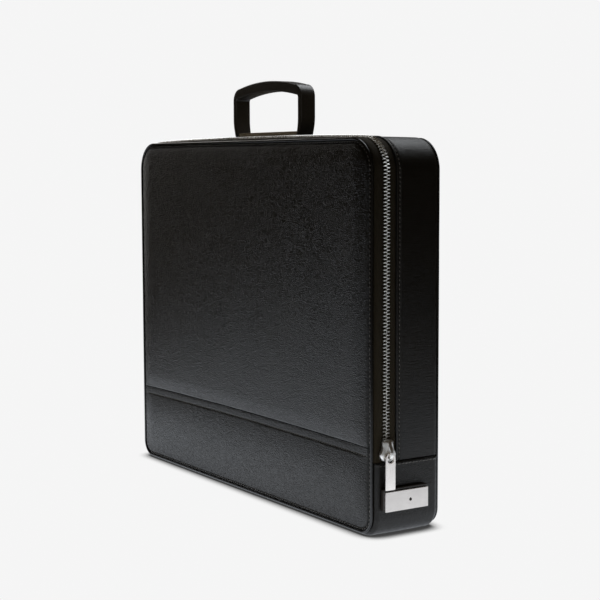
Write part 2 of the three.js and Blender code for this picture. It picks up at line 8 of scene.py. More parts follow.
import bmesh
import bpy
from bpy.props import FloatProperty, FloatVectorProperty, PointerProperty
from bpy.types import Operator, Panel, PropertyGroup
from mathutils import Matrix, Vector, noise


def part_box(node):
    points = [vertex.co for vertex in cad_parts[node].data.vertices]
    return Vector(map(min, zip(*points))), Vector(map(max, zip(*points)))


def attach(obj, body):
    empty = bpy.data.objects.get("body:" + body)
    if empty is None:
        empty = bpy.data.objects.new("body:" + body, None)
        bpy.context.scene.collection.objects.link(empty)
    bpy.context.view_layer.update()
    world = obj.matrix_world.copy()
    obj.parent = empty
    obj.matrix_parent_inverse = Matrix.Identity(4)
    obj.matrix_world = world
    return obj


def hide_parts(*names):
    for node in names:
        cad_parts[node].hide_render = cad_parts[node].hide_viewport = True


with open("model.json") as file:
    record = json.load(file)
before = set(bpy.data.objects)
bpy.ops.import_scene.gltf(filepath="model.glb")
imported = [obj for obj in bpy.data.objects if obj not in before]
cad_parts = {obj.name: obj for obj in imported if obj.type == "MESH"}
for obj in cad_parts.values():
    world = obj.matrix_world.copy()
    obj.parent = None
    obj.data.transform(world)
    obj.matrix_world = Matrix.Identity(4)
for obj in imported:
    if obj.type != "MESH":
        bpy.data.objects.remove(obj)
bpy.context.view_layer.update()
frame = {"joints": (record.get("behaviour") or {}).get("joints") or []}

bl_info = {
    "name": "Leather briefcase",
    "version": (1, 0, 0),
    "blender": (4, 5, 0),
    "location": "3D View > Sidebar > Briefcase",
    "description": "Builds the visible leather, zip, lock and handle round the packed briefcase",
    "category": "Object",
}

BODY = "case"
PULL_BODY = "pull"
MM = 0.001
QUARTER = math.pi / 2
# Inputs of the node that maps one range onto another
RANGE_ENDS = ("From Min", "From Max", "To Min", "To Max")

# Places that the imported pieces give
PIPING_LOW, PIPING_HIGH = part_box("front_piping")
PIPING_RADIUS = (PIPING_HIGH.y - PIPING_LOW.y) / 2
HALF_LENGTH = PIPING_HIGH.x - PIPING_RADIUS
HALF_DEPTH = -(PIPING_LOW.y + PIPING_HIGH.y) / 2
BOTTOM = PIPING_LOW.z + PIPING_RADIUS
TOP = PIPING_HIGH.z - PIPING_RADIUS
FACE_LOW, FACE_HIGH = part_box("front_panel")
FACE_INSET = TOP - FACE_HIGH.z
PILLOW = -FACE_LOW.y - HALF_DEPTH
SEAM_SIDE = FACE_LOW.z
SEAM_GAP = 0.8 * MM
BASE_SIDE_TOP = SEAM_SIDE - SEAM_GAP
GUSSET_LOW, GUSSET_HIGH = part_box("gusset")
BASE_LOW, BASE_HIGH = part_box("base_gusset")
TEETH_LOW, TEETH_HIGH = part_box("zip_teeth")
ZIP_Y = (TEETH_LOW.y + TEETH_HIGH.y) / 2
CHAIN_HALF = (TEETH_HIGH.y - TEETH_LOW.y) / 2
TAPE_LENGTHS = ("right", "right_corner", "top", "left_corner", "left")
FRONT_TAPE_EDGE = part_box("zip_tape_front_right")[0].y
REAR_TAPE_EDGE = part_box("zip_tape_rear_right")[1].y
SLIDER_LOW, SLIDER_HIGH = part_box("zip_slider")
PULL_LOW, PULL_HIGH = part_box("zip_pull")
PULL_JOINT = next(joint for joint in frame["joints"] if joint["child"] == PULL_BODY)
PIVOT = Vector(PULL_JOINT["pos_m"])
PLATE_TOP = PULL_LOW.x - HALF_LENGTH - 0.75 * MM
HANDLE_LOW, HANDLE_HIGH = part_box("handle")


# Sizes and colours

class CaseSizes(PropertyGroup):
    """The case's outline, faces and leather"""
    top_corner: FloatProperty(
        name="Top corner radius", description="Radius of the two upper corners, along the piping",
        default=29 * MM, unit="LENGTH")
    bottom_corner: FloatProperty(
        name="Bottom corner radius",
        description="Radius of the two lower corners, along the piping",
        default=16 * MM, unit="LENGTH")
    leather: FloatProperty(
        name="Leather thickness",
        description="Wall of the faces and the gusset", default=2 * MM, unit="LENGTH")
    roll: FloatProperty(
        name="Face roll", description="Width over which a face rolls down to its piping",
        default=22 * MM, unit="LENGTH")
    sewn_edge: FloatProperty(
        name="Sewn edge",
        description="Width of the flat edge of a face that is sewn down beside the piping",
        default=3.1 * MM, unit="LENGTH")
    edge_level: FloatProperty(
        name="Face edge level", description="Height of a face at the inner side of its sewn edge",
        default=1.1 * MM, unit="LENGTH")
    seam_arch: FloatProperty(
        name="Seam arch", description="How much the seam across a face rises in the middle",
        default=2.2 * MM, unit="LENGTH")
    seam_roll: FloatProperty(
        name="Seam roll", description="Height over which the upper face draws in to the seam",
        default=18 * MM, unit="LENGTH")
    seam_dip: FloatProperty(
        name="Seam dip", description="How far the upper face draws in at the seam",
        default=1.7 * MM, unit="LENGTH")
    base_dip: FloatProperty(
        name="Base dip", description="Depth that the base face draws in at its stitched band",
        default=2.2 * MM, unit="LENGTH")
    base_fall: FloatProperty(
        name="Base fall", description="Depth that the base face falls back towards the floor",
        default=3.0 * MM, unit="LENGTH")
    margin: FloatProperty(
        name="Seam margin",
        description="Height of the flat band between the seam and its stitched line",
        default=7.5 * MM, unit="LENGTH")
    undulation: FloatProperty(
        name="Undulation", description="Height of the slow waves in the leather of the faces",
        default=0.12 * MM, unit="LENGTH")
    crown: FloatProperty(
        name="Gusset crown",
        description="How far the gusset stands out from the piping in the middle of the top",
        default=4 * MM, unit="LENGTH")
    side_swell: FloatProperty(
        name="Side swell",
        description="Share of the crown that the sides have", default=0.8, min=0, max=1)
    corner_swell: FloatProperty(
        name="Corner swell",
        description="Share of the crown at the ends of the top", default=0.42, min=0, max=1)
    shoulder: FloatProperty(
        name="Shoulder width", description="Width over which the gusset rolls down to the piping",
        default=5 * MM, unit="LENGTH")
    bead: FloatProperty(
        name="Rolled edge width", description="Width of the gusset's rolled edge beside the zip",
        default=2.8 * MM, unit="LENGTH")
    bead_height: FloatProperty(
        name="Rolled edge height", description="Height of the gusset's rolled edge over the gusset",
        default=1.2 * MM, unit="LENGTH")
    base_step: FloatProperty(
        name="Base step",
        description="How far the base leather stands out past the sides of the gusset",
        default=0.8 * MM, unit="LENGTH")
    fold: FloatProperty(
        name="Folded edge", description="Height of the folded upper edge of the base leather",
        default=0.6 * MM, unit="LENGTH")


class StitchSizes(PropertyGroup):
    """The seams' thread"""
    pitch: FloatProperty(
        name="Stitch pitch",
        description="Distance from one stitch to the next", default=4.05 * MM, unit="LENGTH")
    length: FloatProperty(
        name="Stitch length",
        description="Length of thread that shows", default=2.05 * MM, unit="LENGTH")
    thread: FloatProperty(
        name="Thread width", description="Width of the thread", default=0.85 * MM, unit="LENGTH")
    groove: FloatProperty(
        name="Groove",
        description="Depth of the groove that a row is sewn in", default=1.05 * MM, unit="LENGTH")
    lift: FloatProperty(
        name="Thread lift", description="Height of the thread's middle over the groove's floor",
        default=0.55 * MM, unit="LENGTH")
    face_inset: FloatProperty(
        name="Face row",
        description="Distance of a face's row from its piping", default=3.1 * MM, unit="LENGTH")
    gusset_inset: FloatProperty(
        name="Gusset row", description="Distance of the gusset's row from its rolled edge",
        default=4.4 * MM, unit="LENGTH")
    base_inset: FloatProperty(
        name="Base row", description="Distance of the base's row from its folded edge",
        default=2.6 * MM, unit="LENGTH")


class ZipSizes(PropertyGroup):
    """The zip's tapes, teeth, slider and pull"""
    tape: FloatProperty(
        name="Tape thickness",
        description="Thickness of the woven tape", default=1.2 * MM, unit="LENGTH")
    tape_rise: FloatProperty(
        name="Tape rise",
        description="How far the tape stands out from the piping in the middle of the top",
        default=3.3 * MM, unit="LENGTH")
    pitch: FloatProperty(
        name="Tooth pitch",
        description="Distance between teeth of one row", default=3.2 * MM, unit="LENGTH")
    tooth_height: FloatProperty(
        name="Tooth height",
        description="Height of a tooth over the tape", default=2 * MM, unit="LENGTH")
    tooth_width: FloatProperty(
        name="Tooth width",
        description="Width of a tooth along the chain", default=1.5 * MM, unit="LENGTH")
    overlap: FloatProperty(
        name="Tooth overlap", description="How far a tooth reaches past the middle of the chain",
        default=0.55 * MM, unit="LENGTH")
    slider_crown: FloatProperty(
        name="Slider crown",
        description="How far the slider's face is domed", default=0.9 * MM, unit="LENGTH")
    pull_bevel: FloatProperty(
        name="Pull bevel",
        description="Bevel round the edges of the pull", default=0.32 * MM, unit="LENGTH")


class FittingSizes(PropertyGroup):
    """The lock and the handle"""
    lock_bevel: FloatProperty(
        name="Lock plate bevel",
        description="Chamfer round the lock plate", default=0.7 * MM, unit="LENGTH")
    keyhole: FloatProperty(
        name="Keyhole radius",
        description="Radius of the round keyhole", default=1.35 * MM, unit="LENGTH")
    keyhole_shift: FloatProperty(
        name="Keyhole shift", description="How far the keyhole lies behind the middle of the plate",
        default=4 * MM, unit="LENGTH")
    leg: FloatProperty(
        name="Handle leg",
        description="Thickness of the handle's legs", default=6.2 * MM, unit="LENGTH")
    grip: FloatProperty(
        name="Handle grip", description="Thickness of the handle at the middle of the grip",
        default=10.6 * MM, unit="LENGTH")
    handle_depth: FloatProperty(
        name="Handle depth", description="Depth of the handle from front to back",
        default=17.8 * MM, unit="LENGTH")
    handle_shift: FloatProperty(
        name="Handle shift",
        description="How far the handle stands to the left of the case's middle",
        default=2.2 * MM, unit="LENGTH")
    arch_radius: FloatProperty(
        name="Grip arch",
        description="Radius of the grip's upper arch", default=270 * MM, unit="LENGTH")
    inner_arch_radius: FloatProperty(
        name="Inner arch",
        description="Radius of the grip's lower arch", default=300 * MM, unit="LENGTH")
    corner: FloatProperty(
        name="Handle corner", description="Outer radius where a leg turns into the grip",
        default=13 * MM, unit="LENGTH")
    inner_corner: FloatProperty(
        name="Handle inner corner", description="Inner radius where a leg turns into the grip",
        default=2.5 * MM, unit="LENGTH")
    toe_in: FloatProperty(
        name="Toe in",
        description="How far a leg bends inward at its foot", default=4.8 * MM, unit="LENGTH")
    toe_height: FloatProperty(
        name="Toe height",
        description="Height over which a leg bends inward", default=20 * MM, unit="LENGTH")
    edge_radius: FloatProperty(
        name="Handle edge",
        description="Radius of the handle's rounded edges", default=1.4 * MM, unit="LENGTH")


class Finishes(PropertyGroup):
    """Colours of the leather, thread, cloth and metals"""
    face: FloatVectorProperty(
        name="Face leather",
        description="Colour of the front, back and base leather", subtype="COLOR",
        default=(0.0065, 0.005, 0.003), min=0, max=1)
    gusset: FloatVectorProperty(
        name="Gusset leather", description="Colour of the gusset leather", subtype="COLOR",
        default=(0.0065, 0.0048, 0.0028), min=0, max=1)
    piping: FloatVectorProperty(
        name="Piping leather", description="Colour of the piping", subtype="COLOR",
        default=(0.006, 0.0057, 0.0058), min=0, max=1)
    handle: FloatVectorProperty(
        name="Handle leather", description="Colour of the handle", subtype="COLOR",
        default=(0.055, 0.048, 0.041), min=0, max=1)
    # The thread is black: this light grey colour paints the highlights that the waxed thread
    # catches
    thread: FloatVectorProperty(
        name="Thread", description="Colour of the stitches", subtype="COLOR",
        default=(0.17, 0.155, 0.135), min=0, max=1)
    tape: FloatVectorProperty(
        name="Zip tape", description="Colour of the woven tape", subtype="COLOR",
        default=(0.024, 0.017, 0.007), min=0, max=1)
    nickel: FloatVectorProperty(
        name="Nickel", description="Colour of the teeth and the slider", subtype="COLOR",
        default=(0.93, 0.91, 0.87), min=0, max=1)
    satin: FloatVectorProperty(
        name="Satin metal", description="Colour of the pull and the lock plate", subtype="COLOR",
        default=(1.0, 0.935, 0.875), min=0, max=1)
    taupe: FloatVectorProperty(
        name="Handle strip",
        description="Colour of the painted strip under the handle", subtype="COLOR",
        default=(1.0, 0.93, 0.8), min=0, max=1)
    block: FloatVectorProperty(
        name="Lock block", description="Colour of the block behind the lock plate", subtype="COLOR",
        default=(0.03, 0.023, 0.017), min=0, max=1)


class StageSettings(PropertyGroup):
    """The camera, the pale floor and the soft light"""
    camera: FloatVectorProperty(
        name="Camera place", description="Where the camera stands", subtype="TRANSLATION",
        default=(1.252918, -0.778408, 0.340122))
    yaw: FloatProperty(
        name="Yaw", description="Turn of the view from +Y towards -X", subtype="ANGLE",
        default=math.radians(57.087))
    pitch: FloatProperty(
        name="Pitch", description="Tilt of the view, negative downward", subtype="ANGLE",
        default=math.radians(-5.48))
    roll: FloatProperty(
        name="Roll", description="Turn of the camera round its view", subtype="ANGLE",
        default=math.radians(-0.195))
    lens: FloatProperty(name="Lens", description="Focal length in millimetres", default=84.93)
    white: FloatProperty(
        name="Floor white", description="Brightness of the floor and the backdrop", default=0.915)
    shade_reach: FloatProperty(
        name="Contact shade", description="How far the shade under the case reaches on the floor",
        default=17 * MM, unit="LENGTH")
    table_radius: FloatProperty(
        name="Table radius", description="Radius of the bright table that the leather mirrors",
        default=0.65, unit="LENGTH")
    table_light: FloatProperty(
        name="Table light", description="Brightness of the bright table", default=1.22)
    table_shade: FloatProperty(
        name="Table shade", description="How far the case shades the bright table",
        default=28 * MM, unit="LENGTH")
    table_tint: FloatVectorProperty(
        name="Table tint", description="Colour of the bright table", subtype="COLOR",
        default=(0.88, 0.93, 1.0), min=0, max=1)


# Outline of the case

Station = namedtuple("Station", "x z nx nz along swell")


def mix(low, high, share):
    """A value part of the way between two others"""
    return low + (high - low) * share


def clamp(value, low=0.0, high=1.0):
    """The value, kept between two ends"""
    return max(low, min(high, value))


def smooth(share):
    """Eases from 0 to 1"""
    share = clamp(share)
    return share * share * (3 - 2 * share)


def swell_at(case, x, z):
    """Share of the gusset's crown at a place of the outline"""
    centre_x = HALF_LENGTH - case.top_corner
    centre_z = TOP - case.top_corner
    if z <= centre_z:
        return case.side_swell
    if abs(x) > centre_x:
        turn = math.atan2(z - centre_z, abs(x) - centre_x) / QUARTER
        return mix(case.side_swell, case.corner_swell, smooth(turn))
    return mix(1, case.corner_swell, abs(x / centre_x) ** 3)


def straight(start, end, normal, step):
    """Points along a straight stretch without its end"""
    count = max(1, round(math.dist(start, end) / step))
    return [
        (mix(start[0], end[0], i / count), mix(start[1], end[1], i / count), *normal)
        for i in range(count)
    ]


def turn_round(centre, radius, start, end, steps):
    """Points round a corner without its end, from one direction to another in quarter turns"""
    points = []
    for i in range(steps):
        angle = mix(start, end, i / steps) * QUARTER
        nx = math.cos(angle)
        nz = math.sin(angle)
        points.append((centre[0] + radius * nx, centre[1] + radius * nz, nx, nz))
    return points


def as_stations(case, points):
    """Stations at the points of an outline"""
    stations = []
    along = 0
    for i, point in enumerate(points):
        if i:
            along += math.dist(points[i - 1][:2], point[:2])
        stations.append(Station(*point, along, swell_at(case, point[0], point[1])))
    return stations


def upper_points(case, start_z, step, corner_steps):
    """Up the right side, over the top and down the left side"""
    radius = case.top_corner
    cx = HALF_LENGTH - radius
    cz = TOP - radius
    points = straight((HALF_LENGTH, start_z), (HALF_LENGTH, cz), (1, 0), step)
    points += turn_round((cx, cz), radius, 0, 1, corner_steps)
    points += straight((cx, TOP), (-cx, TOP), (0, 1), step)
    points += turn_round((-cx, cz), radius, 1, 2, corner_steps)
    points += straight((-HALF_LENGTH, cz), (-HALF_LENGTH, start_z), (-1, 0), step)
    points.append((-HALF_LENGTH, start_z, -1, 0))
    return points


def lower_points(case, start_z, step, corner_steps):
    """Down the left side, under the bottom and up the right side"""
    radius = case.bottom_corner
    cx = HALF_LENGTH - radius
    cz = BOTTOM + radius
    points = straight((-HALF_LENGTH, start_z), (-HALF_LENGTH, cz), (-1, 0), step)
    points += turn_round((-cx, cz), radius, 2, 3, corner_steps)
    points += straight((-cx, BOTTOM), (cx, BOTTOM), (0, -1), step)
    points += turn_round((cx, cz), radius, 3, 4, corner_steps)
    points += straight((HALF_LENGTH, cz), (HALF_LENGTH, start_z), (1, 0), step)
    points.append((HALF_LENGTH, start_z, 1, 0))
    return points


def closed_points(case, step, corner_steps):
    """All the way round the case"""
    middle = (TOP + BOTTOM) / 2
    upper = upper_points(case, middle, step, corner_steps)
    return upper[:-1] + lower_points(case, middle, step, corner_steps)[:-1]


def put(station, y, out):
    """A point at a depth y, out from the case's outline"""
    return Vector((station.x + out * station.nx, y, station.z + out * station.nz))


# Making meshes

def make_object(name, vertices, faces, uvs=None, sharp_angle=40):
    """A mesh object with its faces turned outward, shaded smooth except at sharp edges"""
    mesh = bpy.data.meshes.new(name)
    mesh.from_pydata(vertices, [], faces)
    if uvs:
        layer = mesh.uv_layers.new(name="Surface")
        for loop in mesh.loops:
            layer.data[loop.index].uv = uvs[loop.vertex_index]
    work = bmesh.new()
    work.from_mesh(mesh)
    bmesh.ops.recalc_face_normals(work, faces=work.faces)
    work.to_mesh(mesh)
    work.free()
    mesh.shade_smooth()
    mesh.set_sharp_from_angle(angle=math.radians(sharp_angle))
    piece = bpy.data.objects.new(name, mesh)
    bpy.context.scene.collection.objects.link(piece)
    return piece


def settle(piece, material, body=BODY, nodes=()):
    """Gives a piece its finish, its body and the nodes that it stands for"""
    piece.data.materials.append(material)
    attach(piece, body)
    if nodes:
        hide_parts(*nodes)


def sweep(name, stations, section, is_loop=False, place=put, sharp_angle=40):
    """A closed body swept along stations. A section is (y, out) points, outer line first and
    then as many points of the inner line, walked back."""
    rings = []
    across = []
    for station in stations:
        points = section(station)
        rings.append([place(station, y, out) for y, out in points])
        run = [0]
        for a, b in zip(points, points[1:]):
            run.append(run[-1] + math.dist(a, b))
        across.append(run)
    sides = len(rings[0])
    vertices = [point for ring in rings for point in ring]
    uvs = [(s.along, v) for s, run in zip(stations, across) for v in run]
    faces = []
    for r in range(len(rings) if is_loop else len(rings) - 1):
        here = r * sides
        beyond = (r + 1) % len(rings) * sides
        for s in range(sides):
            t = (s + 1) % sides
            faces.append((here + s, here + t, beyond + t, beyond + s))
    if not is_loop:
        last = (len(rings) - 1) * sides
        for i in range(sides // 2 - 1):
            faces.append((i, i + 1, sides - 2 - i, sides - 1 - i))
            faces.append((last + i, last + i + 1, last + sides - 2 - i, last + sides - 1 - i))
    return make_object(name, vertices, faces, uvs, sharp_angle)


def strip(outer, wall):
    """A section of even thickness under its outer line"""
    return outer + [(y, out - wall) for y, out in reversed(outer)]


def rolled_shoulder(edge, inward, width, height, steps):
    """A rounded shoulder from its foot, at a tenth of its height, to its full height. inward is
    1 where it rolls towards the back and -1 where it rolls towards the front."""
    curve = []
    for i in range(steps + 1):
        turn = i / steps * QUARTER
        rise = mix(0.1, 1, math.sin(turn))
        curve.append((edge + inward * width * (1 - math.cos(turn)), height * rise))
    return curve


def circle(corners):
    """Cosine and sine of directions evenly round a circle"""
    angles = [2 * math.pi * i / corners for i in range(corners)]
    return [(math.cos(angle), math.sin(angle)) for angle in angles]


def tube_faces(rings, sides):
    """Faces of a closed tube: rings joined one to the next, and a cap at each end"""
    faces = []
    for r in range(rings - 1):
        for s in range(sides):
            t = (s + 1) % sides
            faces.append((r * sides + s, r * sides + t, (r + 1) * sides + t, (r + 1) * sides + s))
    faces.append(tuple(range(sides)))
    faces.append(tuple((rings - 1) * sides + s for s in range(sides)))
    return faces


def scatter(name, template, template_faces, frames, sharp_angle=50):
    """One mesh with a copy of a small shape at each frame, a 4 by 4 matrix"""
    vertices = []
    faces = []
    for place in frames:
        start = len(vertices)
        vertices += [place @ point for point in template]
        faces += [tuple(start + i for i in face) for face in template_faces]
    return make_object(name, vertices, faces, sharp_angle=sharp_angle)


def frame_at(origin, along, up):
    """Matrix whose x runs along, whose z is up and whose y lies across"""
    x = along.normalized()
    y = up.cross(x).normalized()
    z = x.cross(y)
    rows = Matrix((x, y, z)).transposed().to_4x4()
    return Matrix.Translation(origin) @ rows


def evenly(points, pitch, start=0.5):
    """Places one pitch apart along a line of (point, normal) pairs, with their direction"""
    lengths = [0]
    for (a, _), (b, _) in zip(points, points[1:]):
        lengths.append(lengths[-1] + (b - a).length)
    count = int(lengths[-1] / pitch)
    spare = (lengths[-1] - count * pitch) / 2
    places = []
    index = 0
    for i in range(count):
        target = spare + (i + start) * pitch
        while lengths[index + 1] < target:
            index += 1
        a, normal_a = points[index]
        b, normal_b = points[index + 1]
        share = (target - lengths[index]) / (lengths[index + 1] - lengths[index])
        places.append((a.lerp(b, share), b - a, normal_a.lerp(normal_b, share)))
    return places


# Materials

class Finish:
    """A material's node tree, with short calls for the nodes that the finishes use"""

    def __init__(self, name, roughness, metallic=0.0):
        self.material = bpy.data.materials.new(name)
        self.material.use_nodes = True
        self.tree = self.material.node_tree
        self.shader = self.tree.nodes["Principled BSDF"]
        self.shader.inputs["Roughness"].default_value = roughness
        self.shader.inputs["Metallic"].default_value = metallic

    def add(self, kind, **settings):
        """A new node with its settings"""
        node = self.tree.nodes.new(kind)
        for key, value in settings.items():
            setattr(node, key, value)
        return node

    def link(self, source, target):
        """Joins an output to an input"""
        self.tree.links.new(source, target)

    def object_place(self, scale=(1, 1, 1)):
        """Place in the piece's own metres, scaled"""
        coordinates = self.add("ShaderNodeTexCoord")
        mapping = self.add("ShaderNodeMapping")
        mapping.inputs["Scale"].default_value = scale
        self.link(coordinates.outputs["Object"], mapping.inputs["Vector"])
        return mapping.outputs["Vector"]

    def strip_place(self, scale):
        """Place along and across a strip, from its own map"""
        coordinates = self.add("ShaderNodeUVMap", uv_map="Surface")
        mapping = self.add("ShaderNodeMapping")
        mapping.inputs["Scale"].default_value = scale
        self.link(coordinates.outputs["UV"], mapping.inputs["Vector"])
        return mapping.outputs["Vector"]

    def noise(self, place, scale, detail=3.0, roughness=0.5):
        """Cloudy noise"""
        node = self.add("ShaderNodeTexNoise")
        node.inputs["Scale"].default_value = scale
        node.inputs["Detail"].default_value = detail
        node.inputs["Roughness"].default_value = roughness
        self.link(place, node.inputs["Vector"])
        return node.outputs["Fac"]

    def cells(self, place, scale, randomness=1.0):
        """Distance from the borders of scattered cells"""
        node = self.add("ShaderNodeTexVoronoi", feature="DISTANCE_TO_EDGE")
        node.inputs["Scale"].default_value = scale
        node.inputs["Randomness"].default_value = randomness
        self.link(place, node.inputs["Vector"])
        return node.outputs["Distance"]

    def span(self, value, low, high, to_low=0.0, to_high=1.0):
        """Eases a value from one range into another"""
        node = self.add("ShaderNodeMapRange", interpolation_type="SMOOTHSTEP")
        for key, number in zip(RANGE_ENDS, (low, high, to_low, to_high)):
            node.inputs[key].default_value = number
        self.link(value, node.inputs["Value"])
        return node.outputs["Result"]

    def arithmetic(self, operation, a, b):
        """One sum of two values, each an output or a number"""
        node = self.add("ShaderNodeMath", operation=operation)
        for socket, value in zip(node.inputs, (a, b)):
            if isinstance(value, (int, float)):
                socket.default_value = value
            else:
                self.link(value, socket)
        return node.outputs["Value"]

    def color_between(self, share, low, high):
        """A mix of two colours"""
        node = self.add("ShaderNodeMix", data_type="RGBA")
        node.inputs["A"].default_value = (*low, 1)
        node.inputs["B"].default_value = (*high, 1)
        self.link(share, node.inputs["Factor"])
        return node.outputs["Result"]

    def bump(self, height, distance, strength=1.0, under=None):
        """A surface raised by a height, on top of the one under it"""
        node = self.add("ShaderNodeBump")
        node.inputs["Distance"].default_value = distance
        node.inputs["Strength"].default_value = strength
        self.link(height, node.inputs["Height"])
        if under:
            self.link(under, node.inputs["Normal"])
        return node.outputs["Normal"]

    def set(self, socket, value):
        """Links or sets one of the shader's inputs"""
        target = self.shader.inputs[socket]
        if hasattr(value, "links"):
            self.link(value, target)
        else:
            target.default_value = value


def shaded(color, share):
    """A colour made darker, or lighter with a share over 1"""
    return tuple(channel * share for channel in color)


def leather(name, color, roughness, grain, relief, sheen=0.5, lines=0.0):
    """Black leather with a fine pebbled grain, drawn out along the case. grain is the pebbles'
    size and relief their height in metres, and lines is the height of fine creases across a
    strip."""
    drawn_out = (0.6, 1, 1)
    nodes = Finish(name, roughness)
    place = nodes.object_place(drawn_out)
    broad = nodes.noise(place, 16, detail=4)
    mottle = nodes.noise(place, 0.28 / grain, detail=2)
    tone = nodes.arithmetic(
        "ADD", nodes.span(broad, 0.32, 0.68), nodes.span(mottle, 0.3, 0.7, 0, 0.5))
    nodes.set("Base Color", nodes.color_between(
        nodes.span(tone, 0, 1.5), shaded(color, 0.72), shaded(color, 1.3)))
    pebbles = nodes.span(nodes.cells(place, 1 / grain), 0.0, 0.34)
    pores = nodes.noise(place, 2.6 / grain, detail=2, roughness=0.6)
    height = nodes.arithmetic("ADD", pebbles, nodes.arithmetic("MULTIPLY", pores, 0.6))
    folds = nodes.noise(place, 0.42 / grain, detail=3, roughness=0.62)
    normal = nodes.bump(height, relief, under=nodes.bump(folds, relief * 2))
    if lines:
        creases = nodes.noise(nodes.strip_place((1100, 60, 1)), 1.0, detail=3, roughness=0.65)
        normal = nodes.bump(nodes.span(creases, 0.3, 0.72), lines, under=normal)
    nodes.set("Normal", normal)
    wear = nodes.noise(place, 0.5 / grain, detail=3)
    nodes.set("Roughness", nodes.span(wear, 0.25, 0.75, roughness - 0.045, roughness + 0.05))
    nodes.set("Specular IOR Level", sheen)
    return nodes.material


def woven(name, color, thread):
    """Ribbed tape cloth: threads across the strip, crossed by finer ones along it"""
    nodes = Finish(name, 0.86)
    nodes.set("Specular IOR Level", 0.25)
    turns = math.pi / thread
    place = nodes.strip_place((turns, turns, 1))
    split = nodes.add("ShaderNodeSeparateXYZ")
    nodes.link(place, split.inputs["Vector"])
    along = nodes.arithmetic("SINE", split.outputs["X"], 0)
    across = nodes.arithmetic("SINE", split.outputs["Y"], 0)
    weave = nodes.arithmetic("MULTIPLY", along, across)
    fuzz = nodes.noise(nodes.object_place(), 1800, detail=2)
    height = nodes.arithmetic("ADD", weave, nodes.arithmetic("MULTIPLY", fuzz, 0.8))
    nodes.set("Normal", nodes.bump(nodes.span(height, -1, 1.6), thread * 0.3))
    # The weave's raised threads are coloured lighter and its hollows darker: painted shade in the
    # hollows of the weave
    share = nodes.span(height, -0.9, 1.5)
    nodes.set("Base Color", nodes.color_between(share, shaded(color, 0.45), shaded(color, 1.6)))
    nodes.set("Sheen Weight", 0.1)
    nodes.set("Sheen Roughness", 0.4)
    return nodes.material


def polished(name, color, roughness, tarnish=0.12):
    """Bright plated metal with faint tarnish and hairlines"""
    nodes = Finish(name, roughness, metallic=1.0)
    place = nodes.object_place()
    spots = nodes.noise(place, 240, detail=4, roughness=0.6)
    nodes.set("Base Color", nodes.color_between(
        nodes.span(spots, 0.3, 0.7), shaded(color, 1 - tarnish), color))
    nodes.set("Roughness", nodes.span(
        nodes.noise(place, 420, detail=2), 0.3, 0.7, roughness * 0.8, roughness * 1.25))
    nodes.set("Normal", nodes.bump(nodes.noise(place, 900, detail=2), 0.01 * MM))
    return nodes.material


def satin(name, color, roughness, brush):
    """Brushed metal: brush scales the hairlines along each axis"""
    nodes = Finish(name, roughness, metallic=1.0)
    hairlines = nodes.noise(nodes.object_place(brush), 1.0, detail=4, roughness=0.7)
    blotches = nodes.noise(nodes.object_place(), 90, detail=3)
    nodes.set("Base Color", nodes.color_between(
        nodes.span(blotches, 0.25, 0.75), shaded(color, 0.93), color))
    nodes.set("Roughness", nodes.span(hairlines, 0.25, 0.75, roughness - 0.06, roughness + 0.08))
    nodes.set("Normal", nodes.bump(hairlines, 0.012 * MM))
    return nodes.material


def waxed_thread(name, color):
    """Twisted thread with a waxy shine"""
    nodes = Finish(name, 0.38)
    place = nodes.object_place()
    twist = nodes.noise(place, 2600, detail=2)
    # The same noise raises the twist and colours it: lighter raised twist and darker dips are a
    # painted highlight and painted shade, over a random tone
    nodes.set("Base Color", nodes.color_between(
        nodes.span(twist, 0.3, 0.7), shaded(color, 0.6), shaded(color, 1.7)))
    nodes.set("Normal", nodes.bump(twist, 0.06 * MM))
    return nodes.material


# The faces

def depth_inside(case, x, z):
    """Distance from a point of a face to its rounded outline"""
    is_top = z > (TOP + BOTTOM) / 2
    radius = (case.top_corner if is_top else case.bottom_corner) - FACE_INSET
    from_side = HALF_LENGTH - FACE_INSET - abs(x)
    from_end = (TOP - z if is_top else z - BOTTOM) - FACE_INSET
    if from_side < radius and from_end < radius:
        return radius - math.hypot(radius - from_side, radius - from_end)
    return min(from_side, from_end)


def half_width_at(case, z):
    """Half the width of a face at a height"""
    is_top = z > (TOP + BOTTOM) / 2
    radius = (case.top_corner if is_top else case.bottom_corner) - FACE_INSET
    from_end = (TOP - z if is_top else z - BOTTOM) - FACE_INSET
    straight_half = HALF_LENGTH - FACE_INSET
    if from_end >= radius:
        return straight_half
    rise = max(radius - from_end, 0)
    return straight_half - radius + math.sqrt(max(radius * radius - rise * rise, 0))


def arch_at(case, x):
    """How far the seam across a face rises above its ends"""
    share = x / HALF_LENGTH
    return case.seam_arch * (1 - share * share)


def roll_rise(share):
    """How a pillowed face rises from its sewn edge at 0 to its full level at 1"""
    power = 1.75
    return (1 - (1 - clamp(share)) ** power) ** (1 / power)


def stitch_dent(stitches, depth):
    """The shallow channel that a row of stitches pulls into a face"""
    width = 0.9 * MM
    off = abs(depth - (stitches.face_inset - FACE_INSET)) / width
    return stitches.groove * math.exp(-off * off)


def face_level(case, stitches, x, z, mid_level):
    """Height of a face in front of the piping plane"""
    depth = depth_inside(case, x, z)
    edge = case.edge_level * clamp(depth / case.sewn_edge)
    level = mix(edge, mid_level, roll_rise((depth - case.sewn_edge) / case.roll))
    broad = noise.noise(Vector((x * 14, 3.1, z * 14)))
    fine = noise.noise(Vector((x * 37, 7.7, z * 31)))
    wave = broad + 0.5 * fine
    level += case.undulation * wave * smooth(depth / (case.roll * 1.5))
    return level - stitch_dent(stitches, depth)


def upper_mid_level(case, z):
    """Level of the upper face away from its sides: it draws in to the seam at its foot"""
    rise = (z - SEAM_SIDE) / case.seam_roll
    lip_depth = 0.55 * MM
    lip_height = 1.3 * MM
    lip = lip_depth * (1 - roll_rise((z - SEAM_SIDE) / lip_height))
    return PILLOW - case.seam_dip * (1 - math.sin(clamp(rise) * QUARTER)) - lip


